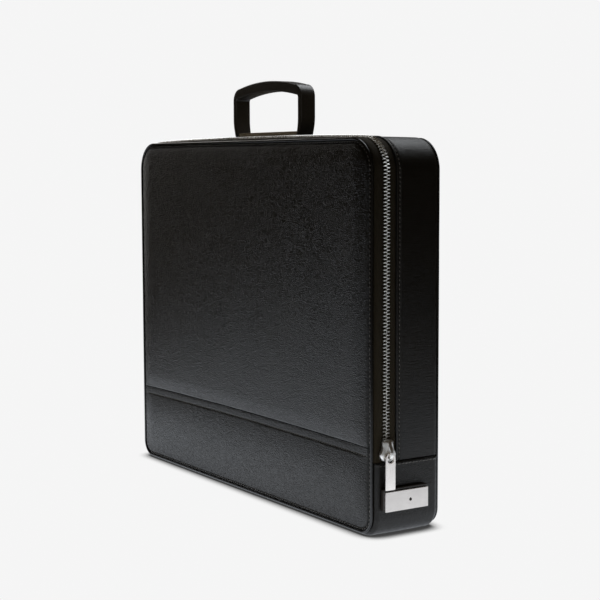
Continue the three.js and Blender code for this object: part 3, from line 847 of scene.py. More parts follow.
def margin_channel(z, band_low):
    """The channel that the row across the base band is sewn in"""
    depth = 1.1 * MM
    width = 0.7 * MM
    return depth * math.exp(-((z - band_low) / width) ** 2)


def base_mid_level(case, z):
    """Level of the base face away from its sides: a pillow under a stitched band"""
    band_low = BASE_SIDE_TOP - case.margin
    if z > band_low:
        share = (z - band_low) / case.margin
        tuck = 0.35 * MM * smooth((share - 0.72) / 0.28)
        return PILLOW - case.base_dip - 0.3 * MM * share - tuck - margin_channel(z, band_low)
    share = (band_low - z) / (band_low - BOTTOM)
    rise = 1 - (1 - clamp(share * 3)) ** 2
    fall = clamp((share - 0.35) / 0.65) ** 1.6
    return PILLOW - case.base_dip * (1 - rise) - case.base_fall * fall - margin_channel(z, band_low)


def columns_at(half_width, reach):
    """Places across a face: close together in the roll at each side"""
    near = [
        0, 0.3, 0.7, 1.1, 1.5, 1.9, 2.3, 2.7, 3.0, 3.2, 3.5,
        3.9, 4.5, 5.3, 6.4, 7.8, 9.6, 11.8, 14.5, 17.5, 21, 25,
    ]
    insets = [value / near[-1] * reach for value in near]
    middle = half_width - reach
    spans = 40
    right = [middle * i / spans for i in range(spans + 1)]
    right += [half_width - inset for inset in reversed(insets[:-1])]
    return [-x for x in reversed(right[1:])] + right


def round_insets(radius):
    """Heights inward from a rounded end, close together where the outline turns"""
    steps = 40
    return [radius * (1 - math.cos(i / steps * QUARTER)) for i in range(steps + 1)]


def between(low, high, step):
    """Values between two ends, without either, about a step apart"""
    count = max(1, round((high - low) / step))
    return [mix(low, high, i / count) for i in range(1, count)]


def upper_rows(case):
    """(height at the side, share of the seam's arch) rows of the upper face"""
    low = [SEAM_SIDE + inset for inset in (0, 0.12 * MM, 0.3 * MM, 0.55 * MM, 0.9 * MM, 1.3 * MM)]
    roll_top = SEAM_SIDE + case.seam_roll
    insets = round_insets(case.top_corner - FACE_INSET)
    high = [TOP - FACE_INSET - inset for inset in reversed(insets)]
    heights = low + between(low[-1], roll_top, 2.4 * MM) + [roll_top]
    heights += between(roll_top, high[0], 5 * MM) + high
    return [(z, clamp(1 - (z - SEAM_SIDE) / case.seam_roll)) for z in heights]


def base_rows(case):
    """The same rows of the base face, close together round its stitched channel"""
    band_low = BASE_SIDE_TOP - case.margin
    insets = round_insets(case.bottom_corner - FACE_INSET)
    low = [BOTTOM + FACE_INSET + inset for inset in insets]
    around = [-2.4, -1.6, -1.1, -0.7, -0.35, 0, 0.35, 0.7, 1.1, 1.6, 2.4]
    near = [band_low + off * MM for off in around]
    heights = low + between(low[-1], near[0], 2.6 * MM) + near
    heights += between(near[-1], BASE_SIDE_TOP, 0.9 * MM) + [BASE_SIDE_TOP]
    foot = low[-1]
    return [(z, clamp((z - foot) / (band_low - foot))) for z in heights]


def face_piece(name, case, stitches, rows, mid_level, facing):
    """A leather sheet with a rounded rim. facing is -1 at the front and 1 at the back."""
    outer = []
    inner = []
    for z, arch in rows:
        level_here = mid_level(case, z)
        for x in columns_at(half_width_at(case, z), case.roll + case.sewn_edge):
            level = face_level(case, stitches, x, z, level_here)
            height = z + arch * arch_at(case, x)
            outer.append(Vector((x, facing * (HALF_DEPTH + level), height)))
            inner.append(Vector((x, facing * (HALF_DEPTH + level - case.leather), height)))
    columns = len(outer) // len(rows)
    shift = len(outer)
    faces = []
    for r in range(len(rows) - 1):
        for c in range(columns - 1):
            a = r * columns + c
            quad = (a, a + 1, a + columns + 1, a + columns)
            faces.append(quad)
            faces.append(tuple(shift + i for i in reversed(quad)))
    last = (len(rows) - 1) * columns
    rim = [(c, c + 1) for c in range(columns - 1)]
    rim += [(last + c + 1, last + c) for c in range(columns - 1)]
    rim += [((r + 1) * columns, r * columns) for r in range(len(rows) - 1)]
    rim += [((r + 1) * columns - 1, (r + 2) * columns - 1) for r in range(len(rows) - 1)]
    faces += [(a, shift + a, shift + b, b) for a, b in rim]
    uvs = [(point.x, point.z) for point in outer + inner]
    return make_object(name, outer + inner, faces, uvs, sharp_angle=55)


class BRIEFCASE_OT_faces(Operator):
    """Makes the pillowed leather faces and their base bands, front and back"""
    bl_idname = "briefcase.faces"
    bl_label = "Faces"

    def execute(self, context):
        scene = context.scene
        case = scene.briefcase_case
        stitches = scene.briefcase_stitches
        colors = scene.briefcase_finishes
        face = leather("face_leather", colors.face, 0.32, 1.5 * MM, 0.21 * MM)
        # The base faces are the same leather; their copy reflects less, which is painted shade that
        # darkens the base band
        band = leather("face_base_leather", colors.face, 0.32, 1.5 * MM, 0.21 * MM, sheen=0.4)
        for side, facing in (("front", -1), ("back", 1)):
            upper = face_piece(
                f"{side}_leather", case, stitches, upper_rows(case), upper_mid_level, facing)
            settle(upper, face, nodes=[f"{side}_panel"])
            base = face_piece(
                f"{side}_base_leather", case, stitches, base_rows(case), base_mid_level, facing)
            settle(base, band, nodes=[f"{side}_base_panel"])
        return {"FINISHED"}


# Piping, gusset and base

class BRIEFCASE_OT_piping(Operator):
    """Makes the two rolled leather pipings round the case"""
    bl_idname = "briefcase.piping"
    bl_label = "Piping"

    def execute(self, context):
        case = context.scene.briefcase_case
        colors = context.scene.briefcase_finishes
        material = leather("piping_leather", colors.piping, 0.2, 0.5 * MM, 0.02 * MM, sheen=0.55)
        stations = as_stations(case, closed_points(case, 7 * MM, 22))
        for name, y in (("front", -HALF_DEPTH), ("rear", HALF_DEPTH)):
            def section(station, middle=y):
                unevenness = 0.035 * noise.noise(Vector((station.x * 60, middle, station.z * 60)))
                radius = 0.86 * PIPING_RADIUS * (1 + unevenness)
                return [(middle + radius * across, radius * out) for across, out in circle(14)]
            piece = sweep(f"{name}_piping_roll", stations, section, is_loop=True)
            settle(piece, material, nodes=[f"{name}_piping"])
        return {"FINISHED"}


def gusset_line(case, stitches, crown):
    """Outer line of the gusset from its rolled edge to the rear piping"""
    front = GUSSET_LOW.y
    rear = GUSSET_HIGH.y
    half = case.bead / 2
    line = []
    bead_steps = 8
    for i in range(bead_steps + 1):
        angle = mix(-0.25, 1, i / bead_steps) * math.pi
        line.append((
            front + half - half * math.cos(angle), crown + case.bead_height * math.sin(angle)))
    row = front + stitches.gusset_inset
    flat_start = front + case.bead
    flat_end = rear - case.shoulder
    bulge = 0.3 * MM
    channel_width = 0.8 * MM
    near_row = [0.5, 1.0, 1.35, 1.6, 1.85, 2.2, 3, 4.5]
    places = [flat_start + off * MM for off in near_row]
    places += between(places[-1], flat_end, 3.5 * MM) + [flat_end]
    for y in places:
        share = (y - flat_start) / (flat_end - flat_start)
        channel = stitches.groove * math.exp(-((y - row) / channel_width) ** 2)
        line.append((y, crown + bulge * math.sin(share * math.pi) - channel))
    rear_shoulder = rolled_shoulder(rear, -1, case.shoulder, crown, 10)
    return line + rear_shoulder[-2::-1]


def base_line(case, crown):
    """Outer line of the base leather from the front piping to the rear one"""
    front = BASE_LOW.y
    rear = BASE_HIGH.y
    bulge = 0.25 * MM
    line = rolled_shoulder(front, 1, case.shoulder, crown, 10)
    width = rear - front - 2 * case.shoulder
    for y in between(front + case.shoulder, rear - case.shoulder, 4 * MM):
        share = (y - front - case.shoulder) / width
        line.append((y, crown + bulge * math.sin(share * math.pi)))
    return line + rolled_shoulder(rear, -1, case.shoulder, crown, 10)[::-1]


def side_crown(case):
    """How far the gusset stands out at the sides"""
    return case.crown * case.side_swell


def fold_height(case, station):
    """Extra height of the base leather near its folded upper edge"""
    edge_radius = 1.7 * MM
    edge_drop = 0.9 * MM
    fold_end = 2.2 * MM
    fade_width = 1.2 * MM
    below = BASE_HIGH.z - station.z
    if station.nz or below > 12 * MM:
        return 0
    round_off = math.sqrt(max(0, 1 - (1 - clamp(below / edge_radius)) ** 2))
    fade = 1 - smooth((below - fold_end) / fade_width)
    return case.fold * fade * round_off - edge_drop * (1 - round_off)


def put_on_floor(station, y, out):
    """A point outside the case's outline, but never under the floor"""
    point = put(station, y, out)
    point.z = max(point.z, 0.0)
    return point


def base_section(case, crown, station):
    """A section of the base leather, raised where its upper edge is folded"""
    outer = base_line(case, crown)
    extra = fold_height(case, station)
    raised = [(y, out + extra * clamp(out / crown)) for y, out in outer]
    return raised + [(y, out - case.leather) for y, out in reversed(outer)]


class BRIEFCASE_OT_gusset(Operator):
    """Makes the gusset with its rolled edge and the base leather that wraps the bottom"""
    bl_idname = "briefcase.gusset"
    bl_label = "Gusset and base"

    def execute(self, context):
        scene = context.scene
        case = scene.briefcase_case
        stitches = scene.briefcase_stitches
        colors = scene.briefcase_finishes
        side = leather("gusset_leather", colors.gusset, 0.42, 0.9 * MM, 0.03 * MM, lines=0.07 * MM)
        low = leather("base_leather", colors.face, 0.34, 1.5 * MM, 0.16 * MM, sheen=0.34)

        stations = as_stations(case, upper_points(case, GUSSET_LOW.z + 0.4 * MM, 6 * MM, 24))
        gusset = sweep("gusset_leather", stations, lambda station: strip(
            gusset_line(case, stitches, case.crown * station.swell), case.leather))
        settle(gusset, side, nodes=["gusset"])

        points = lower_points(case, BASE_HIGH.z - 7 * MM, 6 * MM, 20)
        near_fold = [5.5, 4.4, 3.8, 3.4, 3, 2.6, 2.2, 1.7, 1.2, 0.8, 0.45, 0.2, 0.06, 0]
        heights = [BASE_HIGH.z - off * MM for off in near_fold]
        left = [(-HALF_LENGTH, z, -1, 0) for z in reversed(heights)]
        right = [(HALF_LENGTH, z, 1, 0) for z in heights]
        crown = side_crown(case) + case.base_step
        base = sweep(
            "base_leather", as_stations(case, left + points + right),
            lambda station: base_section(case, crown, station),
            place=put_on_floor)
        settle(base, low, nodes=["base_gusset"])
        return {"FINISHED"}


# The zip

TAPE_GAP = 0.15 * MM
TAPE_STEP = 1.6 * MM


def tape_level(zipper, station):
    """How far the tapes stand out"""
    return zipper.tape_rise * station.swell


def front_tape_line(case, rise):
    """Outer line of the front tape from the piping to its woven edge under the teeth"""
    end = ZIP_Y - TAPE_GAP
    line = rolled_shoulder(FRONT_TAPE_EDGE, 1, case.shoulder, rise, 8)
    flat = between(FRONT_TAPE_EDGE + case.shoulder, end, TAPE_STEP) + [end]
    return line + [(y, rise) for y in flat]


def rear_tape_line(rise):
    """Outer line of the rear tape from its woven edge to the gusset"""
    start = ZIP_Y + TAPE_GAP
    flat = [start] + between(start, REAR_TAPE_EDGE, TAPE_STEP) + [REAR_TAPE_EDGE]
    return [(y, rise) for y in flat]


def tooth_shape(zipper):
    """One tooth, x along the chain, y from its root to its tip past the middle, z up"""
    root = -CHAIN_HALF
    tip = zipper.overlap
    width = zipper.tooth_width
    rows = [
        (root, 0.66, 0.45), (root + 0.3 * MM, 0.88, 0.82), (root + 1.1 * MM, 0.86, 1.0),
        (-1.0 * MM, 0.84, 1.0), (-0.1 * MM, 1.05, 0.98), (tip - 0.3 * MM, 0.98, 0.86),
        (tip, 0.62, 0.5),
    ]
    corners = [(-0.5, 0), (-0.5, 0.55), (-0.34, 0.86), (0, 1), (0.34, 0.86), (0.5, 0.55), (0.5, 0)]
    points = []
    for y, wide, high in rows:
        for across, up in corners:
            points.append(Vector((across * width * wide, y, up * zipper.tooth_height * high)))
    return points, tube_faces(len(rows), len(corners))


class BRIEFCASE_OT_zip_chain(Operator):
    """Makes the two tapes and the two rows of interlocking teeth"""
    bl_idname = "briefcase.zip_chain"
    bl_label = "Zip tapes and teeth"

    def execute(self, context):
        scene = context.scene
        case = scene.briefcase_case
        zipper = scene.briefcase_zip
        colors = scene.briefcase_finishes
        cloth = woven("tape_cloth", colors.tape, 0.55 * MM)
        metal = polished("tooth_metal", colors.nickel, 0.29)
        stations = as_stations(case, upper_points(case, TEETH_LOW.z, 6 * MM, 24))
        outer_lines = {
            "front": lambda rise: front_tape_line(case, rise),
            "rear": rear_tape_line,
        }
        for side, outer_line in outer_lines.items():
            def section(station, line=outer_line):
                return strip(line(tape_level(zipper, station)), zipper.tape)

            tape = sweep(f"{side}_tape_cloth", stations, section)
            lengths = [f"zip_tape_{side}_{place}" for place in TAPE_LENGTHS]
            settle(tape, cloth, nodes=lengths)

        line = []
        for station in stations:
            level = tape_level(zipper, station) + 0.1 * MM
            line.append((put(station, ZIP_Y, level), Vector((station.nx, 0, station.nz))))
        frames = []
        for start, turn in ((0.25, 0), (0.75, math.pi)):
            turned = Matrix.Rotation(turn, 4, "Z")
            frames += [frame_at(*place) @ turned for place in evenly(line, zipper.pitch, start)]
        teeth = scatter("zip_teeth_rows", *tooth_shape(zipper), frames, sharp_angle=45)
        settle(teeth, metal, nodes=["zip_teeth"])
        return {"FINISHED"}


def side_point(y, z, out):
    """A point on the right side, out from the piping's line"""
    return Vector((HALF_LENGTH + out, y, z))


# Share of the way up the slider, of its half width and of its height
SLIDER_FORM = (
    (0.0, 0.34, 0.62), (0.04, 0.5, 0.8), (0.1, 0.7, 0.92), (0.18, 0.88, 0.98),
    (0.28, 0.985, 1.0), (0.36, 1.0, 1.0), (0.45, 0.95, 1.0), (0.55, 0.82, 1.0),
    (0.66, 0.72, 1.0), (0.78, 0.68, 1.0), (0.88, 0.69, 0.98), (0.95, 0.66, 0.9),
    (1.0, 0.56, 0.74),
)


def slider_section(zipper, wide, high, seat, channel_top):
    """A ring of the slider's body: a domed plate with a flange at each side of the chain"""
    edge = min(1.5 * MM, wide * 0.3)
    edge_height = 1.6 * MM
    flange = high - edge_height - zipper.slider_crown
    outer = [(-wide, seat + 0.3 * MM), (-wide, flange)]
    steps = 4
    for i in range(1, steps + 1):
        turn = i / steps * QUARTER
        outer.append((-wide + edge * (1 - math.cos(turn)), flange + edge_height * math.sin(turn)))
    for share in (0.66, 0.33, 0):
        y = -(wide - edge) * share
        outer.append((y, high - zipper.slider_crown * share * share))
    outer += [(-y, out) for y, out in reversed(outer[:-1])]
    channel = min(CHAIN_HALF + 0.35 * MM, wide - 0.5 * MM)
    inner = [(-wide + 0.3 * MM, seat), (-channel, seat), (-channel, channel_top - 0.4 * MM)]
    inner += [(-channel + 0.4 * MM, channel_top), (0, channel_top)]
    inner += [(-y, out) for y, out in reversed(inner[:-1])]
    return outer + list(reversed(inner))


def slider_piece(zipper):
    """The slider's body, which narrows from its shoulders to its nose"""
    half = (SLIDER_HIGH.y - SLIDER_LOW.y) / 2
    middle = (SLIDER_HIGH.y + SLIDER_LOW.y) / 2
    seat = SLIDER_LOW.x - HALF_LENGTH
    channel_top = TEETH_HIGH.x - HALF_LENGTH + 0.3 * MM
    vertices = []
    for along, wide, high in SLIDER_FORM:
        z = mix(SLIDER_LOW.z, SLIDER_HIGH.z, along)
        top = mix(channel_top + 0.5 * MM, PLATE_TOP, high)
        for y, out in slider_section(zipper, half * wide, top, seat, channel_top):
            vertices.append(side_point(middle + y, z, out))
    sides = len(vertices) // len(SLIDER_FORM)
    return make_object("slider_body", vertices, tube_faces(len(SLIDER_FORM), sides), sharp_angle=50)


def rounded_square(value):
    """Draws a cosine or sine out so that a circle becomes a square with round corners"""
    return math.copysign(abs(value) ** 0.5, value)


def bridge_piece():
    """The arch over the pull's bar: a strap of rounded section from foot to foot"""
    width = 3.2 * MM
    wall = 1.4 * MM
    rise = SLIDER_HIGH.x - HALF_LENGTH - wall / 2
    foot = PLATE_TOP - 1.0 * MM
    knots = [
        (-4.3, 0), (-4.5, 0.3), (-4.3, 0.6), (-3.6, 0.87), (-2.4, 0.98), (-0.8, 1), (1.2, 1),
        (3.2, 0.93), (5.2, 0.76), (7.2, 0.53), (9, 0.33), (10.4, 0.16), (11.2, 0),
    ]
    line = [side_point(PIVOT.y, PIVOT.z + z * MM, mix(foot, rise, share)) for z, share in knots]
    steps = len(line) - 1
    corners = 12
    vertices = []
    for i, point in enumerate(line):
        before = line[max(i - 1, 0)]
        after = line[min(i + 1, steps)]
        tangent = (after - before).normalized()
        across = Vector((0, 1, 0))
        normal = across.cross(tangent).normalized()
        for cosine, sine in circle(corners):
            side = rounded_square(cosine) * width / 2
            up = rounded_square(sine) * wall / 2
            vertices.append(point + across * side + normal * up)
    return make_object("slider_bridge", vertices, tube_faces(steps + 1, corners), sharp_angle=60)


def plate_with_holes(name, outline, holes, thickness, bevel, place):
    """A flat plate from closed outlines in its own plane, bevelled on both faces. place turns
    (across, up, out) into a point."""
    curve = bpy.data.curves.new(name, "CURVE")
    curve.dimensions = "2D"
    curve.fill_mode = "BOTH"
    curve.extrude = thickness / 2 - bevel
    curve.bevel_depth = bevel
    curve.bevel_resolution = 2
    curve.offset = -bevel
    for points in [outline, *holes]:
        spline = curve.splines.new("POLY")
        spline.points.add(len(points) - 1)
        for target, (across, up) in zip(spline.points, points):
            target.co = (across, up, 0, 1)
        spline.use_cyclic_u = True
    holder = bpy.data.objects.new(name, curve)
    bpy.context.scene.collection.objects.link(holder)
    bpy.context.view_layer.update()
    graph = bpy.context.evaluated_depsgraph_get()
    raw = bpy.data.meshes.new_from_object(holder.evaluated_get(graph))
    bpy.data.objects.remove(holder)
    work = bmesh.new()
    work.from_mesh(raw)
    bpy.data.meshes.remove(raw)
    bmesh.ops.remove_doubles(work, verts=work.verts, dist=0.002 * MM)
    vertices = [place(vertex.co.x, vertex.co.y, vertex.co.z) for vertex in work.verts]
    faces = [tuple(vertex.index for vertex in face.verts) for face in work.faces]
    work.free()
    return make_object(name, vertices, faces, sharp_angle=8)


def arc_points(cx, cy, radius_x, radius_y, start, end, steps):
    """Points of an elliptic arc, its start and end given in quarter turns"""
    points = []
    for i in range(steps + 1):
        angle = mix(start, end, i / steps) * QUARTER
        points.append((cx + radius_x * math.cos(angle), cy + radius_y * math.sin(angle)))
    return points


def on_right_end(x, y, z):
    """Places a plate's (across, up, out) at a point of the case's right-hand end"""
    return lambda across, up, out: Vector((x + out, y + across, z + up))


def pull_piece(zipper):
    """The pull: a flat bar with a rounded head and a long eye round the bridge"""
    half = (PULL_HIGH.y - PULL_LOW.y) / 2
    top = PULL_HIGH.z - PIVOT.z
    bottom = PULL_LOW.z - PIVOT.z
    head_width = half * 0.62
    head_height = 5.5 * MM
    corner = 0.7 * MM
    outline = arc_points(half - corner, bottom + corner, corner, corner, 3, 4, 4)
    outline += arc_points(half - head_width, top - head_height, head_width, head_height, 0, 1, 10)
    outline += arc_points(-half + head_width, top - head_height, head_width, head_height, 1, 2, 10)
    outline += arc_points(-half + corner, bottom + corner, corner, corner, 2, 3, 4)
    eye = 3.3 * MM
    eye_top = -0.95 * MM
    eye_top_round = 2 * MM
    eye_bottom = -8.6 * MM
    eye_bottom_round = 3.1 * MM
    hole = arc_points(0, eye_top - eye_top_round, eye * 0.94, eye_top_round, 0, 2, 10)
    hole += arc_points(0, eye_bottom + eye_bottom_round, eye, eye_bottom_round, 2, 4, 14)
    return plate_with_holes(
        "pull_tab", outline, [hole], PULL_HIGH.x - PULL_LOW.x, zipper.pull_bevel,
        on_right_end(*PIVOT))


class BRIEFCASE_OT_slider(Operator):
    """Makes the slider with its bridge, and the pull that turns under it"""
    bl_idname = "briefcase.slider"
    bl_label = "Slider and pull"

    def execute(self, context):
        zipper = context.scene.briefcase_zip
        colors = context.scene.briefcase_finishes
        metal = polished("slider_metal", colors.nickel, 0.36, tarnish=0.1)
        settle(slider_piece(zipper), metal, nodes=["zip_slider"])
        settle(bridge_piece(), metal)
        finish = satin("pull_metal", colors.satin, 0.3, (2600, 2600, 90))
        settle(pull_piece(zipper), finish, body=PULL_BODY, nodes=["zip_pull"])
        return {"FINISHED"}


# The lock

def rounded_rectangle(length, height, radius):
    """Outline of a rectangle with round corners about the origin"""
    points = []
    for across, up, start in ((1, 1, 0), (-1, 1, 1), (-1, -1, 2), (1, -1, 3)):
        centre = (across * (length / 2 - radius), up * (height / 2 - radius))
        points += arc_points(*centre, radius, radius, start, start + 1, 4)
    return points


class BRIEFCASE_OT_lock(Operator):
    """Makes the lock's black block and its bevelled plate with a round keyhole"""
    bl_idname = "briefcase.lock"
    bl_label = "Lock"

    def execute(self, context):
        fittings = context.scene.briefcase_fittings
        colors = context.scene.briefcase_finishes
        low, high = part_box("lock_block")
        outline = rounded_rectangle(high.y - low.y, high.z - low.z, 1.1 * MM)
        block = plate_with_holes(
            "lock_body", outline, [], high.x - low.x, 0.6 * MM, on_right_end(*(low + high) / 2))
        dark = leather("lock_body_finish", colors.block, 0.36, 0.5 * MM, 0.01 * MM)
        settle(block, dark, nodes=["lock_block"])

        low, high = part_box("lock_plate")
        middle = (low + high) / 2
        outline = rounded_rectangle(high.y - low.y, high.z - low.z, 0.5 * MM)
        shift = fittings.keyhole_shift
        keyhole = arc_points(shift, 0, fittings.keyhole, fittings.keyhole, 0, 3.8, 19)
        plate = plate_with_holes(
            "lock_face", outline, [keyhole], high.x - low.x, fittings.lock_bevel * 0.6,
            on_right_end(*middle))
        # The plate takes the pull's satin metal darkened to 0.73: a shaded copy whose darker tone
        # is painted shade
        finish = satin("lock_metal", shaded(colors.satin, 0.73), 0.34, (90, 90, 2600))
        settle(plate, finish, nodes=["lock_plate"])

        core_radius = fittings.keyhole * 0.9
        core = plate_with_holes(
            "keyhole_core", arc_points(0, 0, core_radius, core_radius, 0, 3.8, 19), [], 0.8 * MM,
            0.15 * MM, on_right_end(low.x + 0.4 * MM, middle.y + shift, middle.z))
        settle(core, dark)
        return {"FINISHED"}


# The handle

def drop(radius, x):
    """How far an arch has fallen at a distance from its middle"""
    return radius - math.sqrt(radius * radius - x * x)


def handle_half(leg_x, arch_top, arch_radius, corner, foot_x, toe_height):
    """Half of a bent line from the foot up the leg and along the arch to the middle"""
    points = []
    toe_steps = 12
    for i in range(toe_steps + 1):
        share = i / toe_steps
        points.append((mix(foot_x, leg_x, math.sin(share * QUARTER)), share * toe_height))
    at_corner = arch_top - drop(arch_radius, leg_x - corner)
    points += between_points(points[-1], (leg_x, at_corner - corner), 5)
    points += arc_points(leg_x - corner, at_corner - corner, corner, corner, 0, 1, 14)
    steps = 22
    for i in range(1, steps + 1):
        x = (leg_x - corner) * (1 - i / steps)
        points.append((x, arch_top - drop(arch_radius, x)))
    return points


def between_points(start, end, count):
    """Points that split a straight stretch into equal parts, without its ends"""
    return [
        (mix(start[0], end[0], i / count), mix(start[1], end[1], i / count))
        for i in range(1, count)
    ]


def handle_lines(fittings):
    """Outer and inner lines of the handle with as many points, from the left foot to the right"""
    leg_x = HANDLE_HIGH.x + 0.5 * MM
    height = HANDLE_HIGH.z - HANDLE_LOW.z
    foot_x = leg_x - fittings.toe_in
    outer = handle_half(
        leg_x, height, fittings.arch_radius, fittings.corner, foot_x, fittings.toe_height)
    inner = handle_half(
        leg_x - fittings.leg, height - fittings.grip, fittings.inner_arch_radius,
        fittings.inner_corner, foot_x - fittings.leg * 0.75, fittings.toe_height)
    lines = []
    for half in (outer, inner):
        line = [(-x, z) for x, z in half] + list(reversed(half[:-1]))
        lines.append([(x - fittings.handle_shift, z) for x, z in line])
    return lines


def handle_piece(fittings):
    """A leather-wrapped grip: a rounded section that follows its outer and inner lines"""
    outer, inner = handle_lines(fittings)
    depth = fittings.handle_depth
    middle_y = (HANDLE_HIGH.y + HANDLE_LOW.y) / 2
    vertices = []
    for (ox, oz), (ix, iz) in zip(outer, inner):
        thick = math.hypot(ox - ix, oz - iz)
        radius = min(fittings.edge_radius, thick * 0.42)
        for across, up in rounded_rectangle(depth, thick, radius):
            share = up / thick + 0.5
            z = HANDLE_LOW.z + mix(iz, oz, share)
            vertices.append(Vector((mix(ix, ox, share), middle_y + across, z)))
    rings = len(outer)
    sides = len(vertices) // rings
    return make_object("handle_grip", vertices, tube_faces(rings, sides), sharp_angle=50)


class BRIEFCASE_OT_handle(Operator):
    """Makes the arched leather handle and the strip that it stands on"""
    bl_idname = "briefcase.handle"
    bl_label = "Handle"

    def execute(self, context):
        fittings = context.scene.briefcase_fittings
        colors = context.scene.briefcase_finishes
        hide = leather("handle_leather", colors.handle, 0.36, 0.5 * MM, 0.02 * MM, sheen=0.95)
        settle(handle_piece(fittings), hide, nodes=["handle"])
        low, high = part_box("handle_base")
        middle = (low + high) / 2
        middle.x -= fittings.handle_shift

        def facing_front(across, up, out):
            return Vector((middle.x + across, middle.y - out, middle.z + up))

        outline = rounded_rectangle(high.x - low.x, high.z - low.z, 0.9 * MM)
        base = plate_with_holes("handle_strip", outline, [], high.y - low.y, 0.5 * MM, facing_front)
        paint = satin("strip_paint", colors.taupe, 0.45, (2200, 120, 120))
        settle(base, paint, nodes=["handle_base"])
        return {"FINISHED"}


# The stitches

def stitch_shape(stitches):
    """One stitch: a short thread that dives into the leather at both ends"""
    half = stitches.length / 2
    radius = stitches.thread / 2
    rows = [
        (-1.0, 0.35, -0.55), (-0.82, 0.85, -0.12), (-0.4, 1.0, 0.12),
        (0.4, 1.0, 0.12), (0.82, 0.85, -0.12), (1.0, 0.35, -0.55),
    ]
    sides = 6
    points = []
    for along, thick, lift in rows:
        for across, up in circle(sides):
            points.append(Vector((
                along * half, thick * radius * across, lift * radius + thick * radius * up)))
    return points, tube_faces(len(rows), sides)


def stitch_frames(line, stitches):
    """Frames of the stitches along a line, each turned a little as a lockstitch is"""
    slant = math.radians(14)
    turned = Matrix.Translation((0, 0, stitches.lift)) @ Matrix.Rotation(slant, 4, "Z")
    return [frame_at(*place) @ turned for place in evenly(line, stitches.pitch)]


def face_row_line(case, stitches, facing, upper):
    """Where the row of stitches beside the piping runs on a face"""
    inset = stitches.face_inset
    points = []
    if upper:
        source = upper_points(case, SEAM_SIDE + 2 * MM, 5 * MM, 20)
    else:
        source = lower_points(case, BASE_SIDE_TOP - 2 * MM, 5 * MM, 16)
    for x, z, nx, nz in source:
        px = x - inset * nx
        pz = z - inset * nz
        mid = upper_mid_level(case, pz) if upper else base_mid_level(case, pz)
        level = face_level(case, stitches, px, pz, mid)
        tilt = Vector((nx * 0.5, facing, nz * 0.5)).normalized()
        points.append((Vector((px, facing * (HALF_DEPTH + level), pz)), tilt))
    return points


def seam_row_line(case, stitches, facing):
    """Where the row across the base band runs, under the seam"""
    band_low = BASE_SIDE_TOP - case.margin
    points = []
    reach = HALF_LENGTH - FACE_INSET - 1.5 * MM
    steps = 90
    for i in range(steps + 1):
        x = mix(-reach, reach, i / steps)
        level = face_level(case, stitches, x, band_low, base_mid_level(case, band_low))
        z = band_low + arch_at(case, x)
        points.append((Vector((x, facing * (HALF_DEPTH + level), z)), Vector((0, facing, 0))))
    return points


def gusset_row_line(case, stitches):
    """Where the row beside the gusset's rolled edge runs"""
    y = GUSSET_LOW.y + stitches.gusset_inset
    points = []
    for station in as_stations(case, upper_points(case, GUSSET_LOW.z + 1 * MM, 5 * MM, 22)):
        out = case.crown * station.swell - stitches.groove
        points.append((put(station, y, out), Vector((station.nx, 0, station.nz))))
    return points


def base_row_line(case, stitches, side):
    """Across one side of the case, under the folded edge of the base leather"""
    z = BASE_HIGH.z - stitches.base_inset
    crown = side_crown(case) + case.base_step
    station = Station(side * HALF_LENGTH, z, side, 0, 0, 0)
    extra = fold_height(case, station)
    flat = base_line(case, crown)[6:-6]
    return [(put(station, y, out + extra), Vector((side, 0, 0))) for y, out in flat]


class BRIEFCASE_OT_stitches(Operator):
    """Sews the rows of stitches on the faces, the gusset and the base"""
    bl_idname = "briefcase.stitches"
    bl_label = "Stitches"

    def execute(self, context):
        scene = context.scene
        case = scene.briefcase_case
        stitches = scene.briefcase_stitches
        # The thread's light grey colour is a painted highlight on black thread
        thread = waxed_thread("thread", scene.briefcase_finishes.thread)
        shape = stitch_shape(stitches)
        for side, facing in (("front", -1), ("back", 1)):
            frames = stitch_frames(face_row_line(case, stitches, facing, True), stitches)
            frames += stitch_frames(face_row_line(case, stitches, facing, False), stitches)
            frames += stitch_frames(seam_row_line(case, stitches, facing), stitches)
            settle(scatter(f"{side}_stitches", *shape, frames), thread)
        frames = stitch_frames(gusset_row_line(case, stitches), stitches)
        settle(scatter("gusset_stitches", *shape, frames), thread)
        frames = []
        for side in (-1, 1):
            frames += stitch_frames(base_row_line(case, stitches, side), stitches)
        settle(scatter("base_stitches", *shape, frames), thread)
        return {"FINISHED"}


# The stage

def floor_material(stage):
    """A pale glowing floor with a painted soft shade close under the case: ambient occlusion dims
    its glow there
    """
    material = bpy.data.materials.new("pale_floor")
    material.use_nodes = True
    tree = material.node_tree
    tree.nodes.clear()
    output = tree.nodes.new("ShaderNodeOutputMaterial")
    glow = tree.nodes.new("ShaderNodeEmission")
    shade = tree.nodes.new("ShaderNodeAmbientOcclusion")
    shade.samples = 24
    shade.inputs["Distance"].default_value = stage.shade_reach
    spread = tree.nodes.new("ShaderNodeMapRange")
    spread.interpolation_type = "SMOOTHSTEP"
    spread.inputs["From Min"].default_value = 0.3
    spread.inputs["From Max"].default_value = 0.96
    spread.inputs["To Min"].default_value = 0.05
    spread.inputs["To Max"].default_value = stage.white
    tree.links.new(shade.outputs["AO"], spread.inputs["Value"])
    tree.links.new(spread.outputs["Result"], glow.inputs["Strength"])
    tree.links.new(glow.outputs["Emission"], output.inputs["Surface"])
    return material


def distance_from(tree, place, centre, half):
    """Distance of a place from a rectangle on the floor"""
    steps = (("SUBTRACT", centre), ("ABSOLUTE", None), ("SUBTRACT", half), ("MAXIMUM", (0, 0, 0)))
    for operation, values in steps:
        step = tree.nodes.new("ShaderNodeVectorMath")
        step.operation = operation
        tree.links.new(place, step.inputs[0])
        if values:
            step.inputs[1].default_value = values
        place = step.outputs["Vector"]
    length = tree.nodes.new("ShaderNodeVectorMath")
    length.operation = "LENGTH"
    tree.links.new(place, length.inputs[0])
    return length.outputs["Value"]


